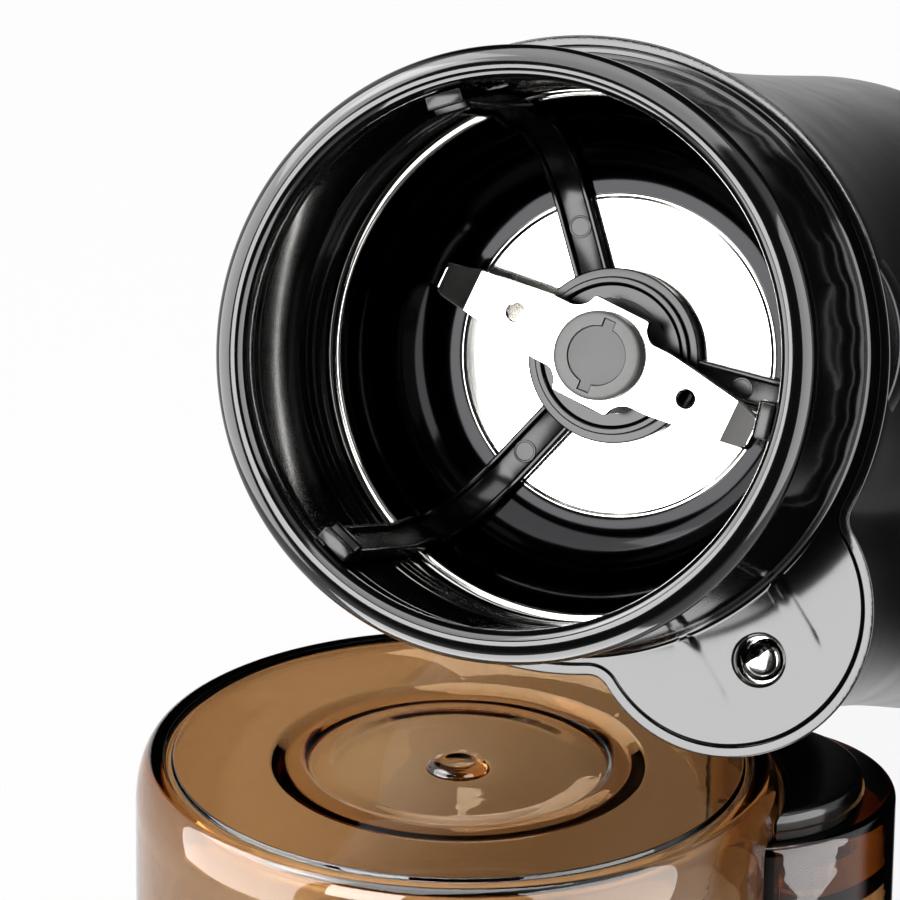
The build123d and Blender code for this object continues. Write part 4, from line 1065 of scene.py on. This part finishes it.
bm = bmesh.new()
face_r = HUB_R - HUB_SOFT
outer = circle(bm, face_r, hub_top)
key = keyed(bm, 0.0, hub_top)
fill(bm, outer + key)
low_key = keyed(bm, 0.0, hub_top - CAP_H)
skin(bm, [key, low_key])
fill(bm, low_key)
rings = [outer]
for lean in leans(5)[1:]:
    down = HUB_SOFT * (1 - cos(lean))
    rings.append(circle(bm, face_r + HUB_SOFT * sin(lean), hub_top - down))
rings.append(circle(bm, HUB_R, hub_low, cap_ends=True))
skin(bm, rings)
place = BODY @ Matrix.Rotation(HUB_TURN, 4, "Z")
piece(bm, "blade_hub_ring", place, hub_grey, "rotor", ["blade_hub"])

bm = bmesh.new()
low_key = keyed(bm, -CAP_GAP, hub_top - CAP_H)
high_key = keyed(bm, -CAP_GAP, hub_top - CAP_DOWN - CAP_SOFT)
top_key = keyed(bm, -CAP_GAP - CAP_SOFT, hub_top - CAP_DOWN)
skin(bm, [low_key, high_key, top_key])
for loop in (low_key, top_key):
    fill(bm, loop)
piece(bm, "blade_cap_grey", place, cap_grey, "rotor", ["blade_cap"])

# %% [markdown]
# ## Switch rod
# The pin in the deck's hole is turned steel, and it ends below the deck. Half of its end is cut to a
# slope: the light that the slope throws back is a small bright patch in a black hole.

# %% Switch rod
ROD_R, ROD_SUNK, ROD_FLANGE_R, ROD_STEM_R, ROD_LOW = 2.9, 0.7, 4.2, 1.8, -18.61
FLANGE_T, FLANGE_DOWN, SLOPE_FROM, SLOPE_EASE = 1.0, 0.7, 0.6, 0.06
flange_top = -DECK_T - FLANGE_DOWN

bm = bmesh.new()
turned(bm, [(0, ROD_LOW), (ROD_STEM_R, ROD_LOW, 1.0), (ROD_STEM_R, flange_top - FLANGE_T),
            (ROD_FLANGE_R, flange_top - FLANGE_T, 0.2), (ROD_FLANGE_R, flange_top, 0.2),
            (ROD_R, flange_top), (ROD_R, -ROD_SUNK - 0.9, 0.5), (ROD_R - 0.7, -ROD_SUNK - 0.25, 0.5),
            (0, -ROD_SUNK)], 72)
for cut in (-SLOPE_FROM, -SLOPE_FROM - SLOPE_EASE):
    cut_at(bm, cut)
for vert in bm.verts:
    beside = -SLOPE_FROM - vert.co.x
    if beside > SLOPE_EASE / 2 and vert.co.z > flange_top + 0.5:
        vert.co.z = max(vert.co.z - beside, flange_top + 0.15)
shift(bm, ROD_AT, 0, 0)
piece(bm, "switch_rod_turned", BODY, steel_turned, "rod", ["push_rod"])

# %% [markdown]
# ## Lid
# The lid is one clear moulding: a round cup with its open side down, and a hollow lobe that stands
# over the switch. The cup is turned, with the groove, the dish, the knob and the stepped pads on their
# real radii. The lobe is a rounded cylinder of its own with a pocket for the button. Clear pieces that
# only cut through each other show false walls inside, so the two are made into one skin: each is whole
# and closed, and Booleans join or cut them.

# %% Lid shapes
LID_R, LID_H, LID_TOP, LID_ROUND_OF = 44.6, 42.0, 2.4, 240
SHOULDER_AT, SHOULDER_INSIDE_AT, SHOULDER_IN, SHOULDER_TALL = 42.2, 40.0, 2.4, 7.0
GROOVE_IN, GROOVE_OUT, GROOVE_DEEP = 39.4, 40.8, 0.6
LID_LOBE_R, LID_LOBE_H, LOBE_SOFT, POCKET_R, POCKET_FLOOR = 21.0, 35.5, 1.6, 16.6, 25.5
LOBE_ROOM_R, LOBE_ROOM_H, SLEEVE_R, SLEEVE_BORE, SLEEVE_LOW = 18.8, 23.5, 4.7, 2.7, 19.5
POCKET_KEEP_R, SOLID_WELD = 44.45, 0.0008


def arc_points(centre, wide, tall, start, stop, steps):
    """Points along an ellipse's quarter, as (radius, height)."""
    turns = [radians(start + (stop - start) * i / steps) for i in range(steps + 1)]
    return [(centre[0] + wide * cos(t), centre[1] + tall * sin(t)) for t in turns]


def solid(name, build, *numbers):
    """A closed helper mesh in millimetres on the group's own axes, for the Booleans below."""
    bm = bmesh.new()
    build(bm, *numbers)
    weld(bm, SOLID_WELD)
    outward(bm)
    return placed(name, mesh_of(bm, name))


def combined(base, steps):
    """Applies Booleans in order, removes the helpers and gives back a bmesh of the result."""
    for operation, helper in steps:
        boolean = base.modifiers.new(helper.name, "BOOLEAN")
        boolean.operation, boolean.solver, boolean.object = operation, "MANIFOLD", helper
    result = base.evaluated_get(bpy.context.evaluated_depsgraph_get())
    bm = bmesh.new()
    bm.from_mesh(result.to_mesh())
    result.to_mesh_clear()
    for helper in [base] + [h for _, h in steps]:
        mesh = helper.data
        bpy.data.objects.remove(helper)
        bpy.data.meshes.remove(mesh)
    return bm


def cup_outside(bm):
    """The round cup's outer skin: shoulder, groove, stepped pads and knob."""
    top = LID_H
    shoulder = arc_points((SHOULDER_AT, top - SHOULDER_TALL), SHOULDER_IN, SHOULDER_TALL, 0, 90, 24)
    turned(bm, [(0, 0), (LID_R - 0.5, 0), (LID_R, 0.5)] + shoulder + [
        (GROOVE_OUT, top, 0.2), (GROOVE_OUT - 0.25, top - GROOVE_DEEP, 0.2),
        (GROOVE_IN + 0.25, top - GROOVE_DEEP, 0.2), (GROOVE_IN, top, 0.2),
        (24.0, top, 1.5), (21.4, top - 0.35, 1.0), (20.6, top - 1.15, 0.6), (18.6, top - 1.35, 0.6),
        (16.6, top - 1.7, 0.6), (8.0, top - 1.85), (4.2, top - 2.0, 0.4), (3.7, top - 1.1, 0.4),
        (2.4, top - 0.7, 0.4), (1.3, top - 1.05, 0.4), (0, top - 1.15)], LID_ROUND_OF)


def cup_inside(bm):
    """The room inside the cup, which a Boolean takes away."""
    ceiling = LID_H - LID_TOP
    shoulder = arc_points((SHOULDER_INSIDE_AT, ceiling - SHOULDER_TALL), SHOULDER_IN, SHOULDER_TALL,
                          0, 90, 20)
    turned(bm, [(0, -1.0), (LID_R - LID_WALL, -1.0)] + shoulder + [
        (25.9, ceiling, 0.4), (23.9, ceiling - 1.2, 0.4), (0, ceiling - 1.2)], LID_ROUND_OF)


def drum(bm, radius, low, high, at, rounding, steps):
    """A cylinder between two heights, with its upper edge rounded."""
    turned_drum = bmesh.new()
    turned(turned_drum, [(0, low), (radius, low), (radius, high, rounding), (0, high)], steps)
    shift(turned_drum, at, 0, 0)
    join(bm, turned_drum)


def moon(bm, radius, low, high, keep_r):
    """The part of a lobe-centred drum that lies outside a radius about the lid's axis."""
    whole = solid("moon", drum, radius, low, high, LOBE_AT, 0.0, 160)
    core = solid("core", drum, keep_r, low - 5, high + 5, 0.0, 0.0, LID_ROUND_OF)
    join(bm, combined(whole, [("DIFFERENCE", core)]))


bm = combined(solid("lid_outside", cup_outside), [
    ("UNION", solid("lobe_outside", drum, LID_LOBE_R, 0.0, LID_LOBE_H, LOBE_AT, LOBE_SOFT, 192)),
    ("DIFFERENCE", solid("lid_inside", cup_inside)),
    ("DIFFERENCE", solid("room_under", moon, LOBE_ROOM_R, -1.0, LOBE_ROOM_H, LID_R)),
    ("DIFFERENCE", solid("pocket", moon, POCKET_R, POCKET_FLOOR, LID_LOBE_H + 4, POCKET_KEEP_R)),
    ("UNION", solid("sleeve", drum, SLEEVE_R, SLEEVE_LOW, POCKET_FLOOR - 0.5, ROD_AT, 0.0, 64)),
    ("DIFFERENCE", solid("bore", drum, SLEEVE_BORE, SLEEVE_LOW - 1, POCKET_FLOOR + 1, ROD_AT, 0.0, 48)),
])
print("lid faces after the Booleans:", len(bm.faces), "open edges:", len(open_edges(bm)))
piece(bm, "lid_moulding", LID, san_amber, "lid", ["lid_shell"], 28.0)

# %% [markdown]
# ## Lid button
# The button fills the pocket: a moon shape whose inner side follows the cup. Each outline is a wire of
# two arcs, and a row of them is skinned from the hollow under the cap round to its soft upper edge. A
# round notch in the inner wall leaves room for the spring, and a stem reaches down to the rod.

# %% Lid button
BUTTON_R, BUTTON_LOW, BUTTON_TOP, BUTTON_CUT_R, BUTTON_ROUND = 16.3, 30.1, 38.1, 44.9, 1.4
STEM_R, STEM_LOW, STEM_SOFT, STEM_MORE = 2.6, 0.8, 0.5, 0.5
BUTTON_CEILING, BUTTON_HOLLOW_R, CEILING_CUT_R, COIL_ROOM_R = 35.7, 14.7, 45.7, 3.9


def moon_loop(bm, radius, cut_r, z):
    """Two arcs that meet: the outer one about the lobe's centre, the inner one about the lid's."""
    x = (cut_r ** 2 - radius ** 2 + LOBE_AT ** 2) / (2 * LOBE_AT)
    y = sqrt(cut_r ** 2 - x * x)
    at_lobe, at_lid = atan2(y, x - LOBE_AT), atan2(y, x)
    loop = bmesh.new()
    arc(loop, (LOBE_AT, 0), radius, -at_lobe, 2 * at_lobe, 72, z)
    arc(loop, (0, 0), cut_r, at_lid, -2 * at_lid, 48, z)
    return outline(bm, loop)


def button_cap(bm):
    """The moon-shaped cap, hollow from below."""
    rings = [moon_loop(bm, BUTTON_HOLLOW_R, CEILING_CUT_R, z) for z in (BUTTON_CEILING, BUTTON_LOW)]
    rings.append(moon_loop(bm, BUTTON_R, BUTTON_CUT_R, BUTTON_LOW))
    for lean in leans(8):
        drawn = BUTTON_ROUND * (1 - cos(lean))
        height = BUTTON_TOP - BUTTON_ROUND * (1 - sin(lean))
        rings.append(moon_loop(bm, BUTTON_R - drawn, BUTTON_CUT_R + drawn, height))
    skin(bm, rings)
    for end in (rings[-1], rings[0]):
        fill(bm, end)


def coil_room(bm):
    """The round notch that the cap's inner wall has for the spring."""
    bmesh.ops.create_cone(bm, cap_ends=True, segments=64, radius1=COIL_ROOM_R, radius2=COIL_ROOM_R,
                          depth=BUTTON_CEILING - BUTTON_LOW + 1,
                          matrix=Matrix.Translation((ROD_AT, 0, (BUTTON_CEILING + BUTTON_LOW - 1) / 2)))


bm = combined(solid("button_whole", button_cap), [("DIFFERENCE", solid("coil_room", coil_room))])
print("open edges of the button:", len(open_edges(bm)))
stem = bmesh.new()
turned(stem, [(0, STEM_LOW), (STEM_R, STEM_LOW, STEM_SOFT), (STEM_R, BUTTON_CEILING + STEM_MORE),
              (0, BUTTON_CEILING + STEM_MORE)], 64)
shift(stem, ROD_AT, 0, 0)
join(bm, stem)
piece(bm, "lid_button_cap", LID, abs_button, "button", ["lid_button"])

# %% [markdown]
# ## Button spring
# The coil round the stem shortens when the button goes down. A small circle is turned four times about
# the stem while it climbs.

# %% Button spring
WIRE_R, COIL_R, COIL_TURNS, COIL_STEPS = 0.35, 3.25, 4, 48
COIL_LOW, COIL_HIGH, BUTTON_TRAVEL = 25.95, 35.25, 4.0

bm = bmesh.new()
start = Matrix.Translation((COIL_R, 0, COIL_LOW)) @ Matrix.Rotation(pi / 2, 4, "X")
wire_end = bmesh.ops.create_circle(bm, segments=16, radius=WIRE_R, matrix=start)["verts"]
steps = COIL_TURNS * COIL_STEPS
bmesh.ops.spin(bm, geom=wire_end + edges_of(wire_end), cent=(0, 0, COIL_LOW), axis=(0, 0, 1),
               dvec=(0, 0, (COIL_HIGH - COIL_LOW) / steps), angle=2 * pi * COIL_TURNS,
               steps=steps, use_merge=False)
bmesh.ops.holes_fill(bm, edges=open_edges(bm))
outward(bm)
shift(bm, ROD_AT, 0, 0)
spring = piece(bm, "button_spring_coil", LID, spring_wire, "lid", ["button_spring"])
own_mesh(spring)

# %% [markdown]
# ## View transform
# The scene's colours are shown through the Standard view transform. The finished meshes must
# not be bigger than the CAD's solids.

# %% View transform
bpy.context.scene.view_settings.view_transform = "Standard"
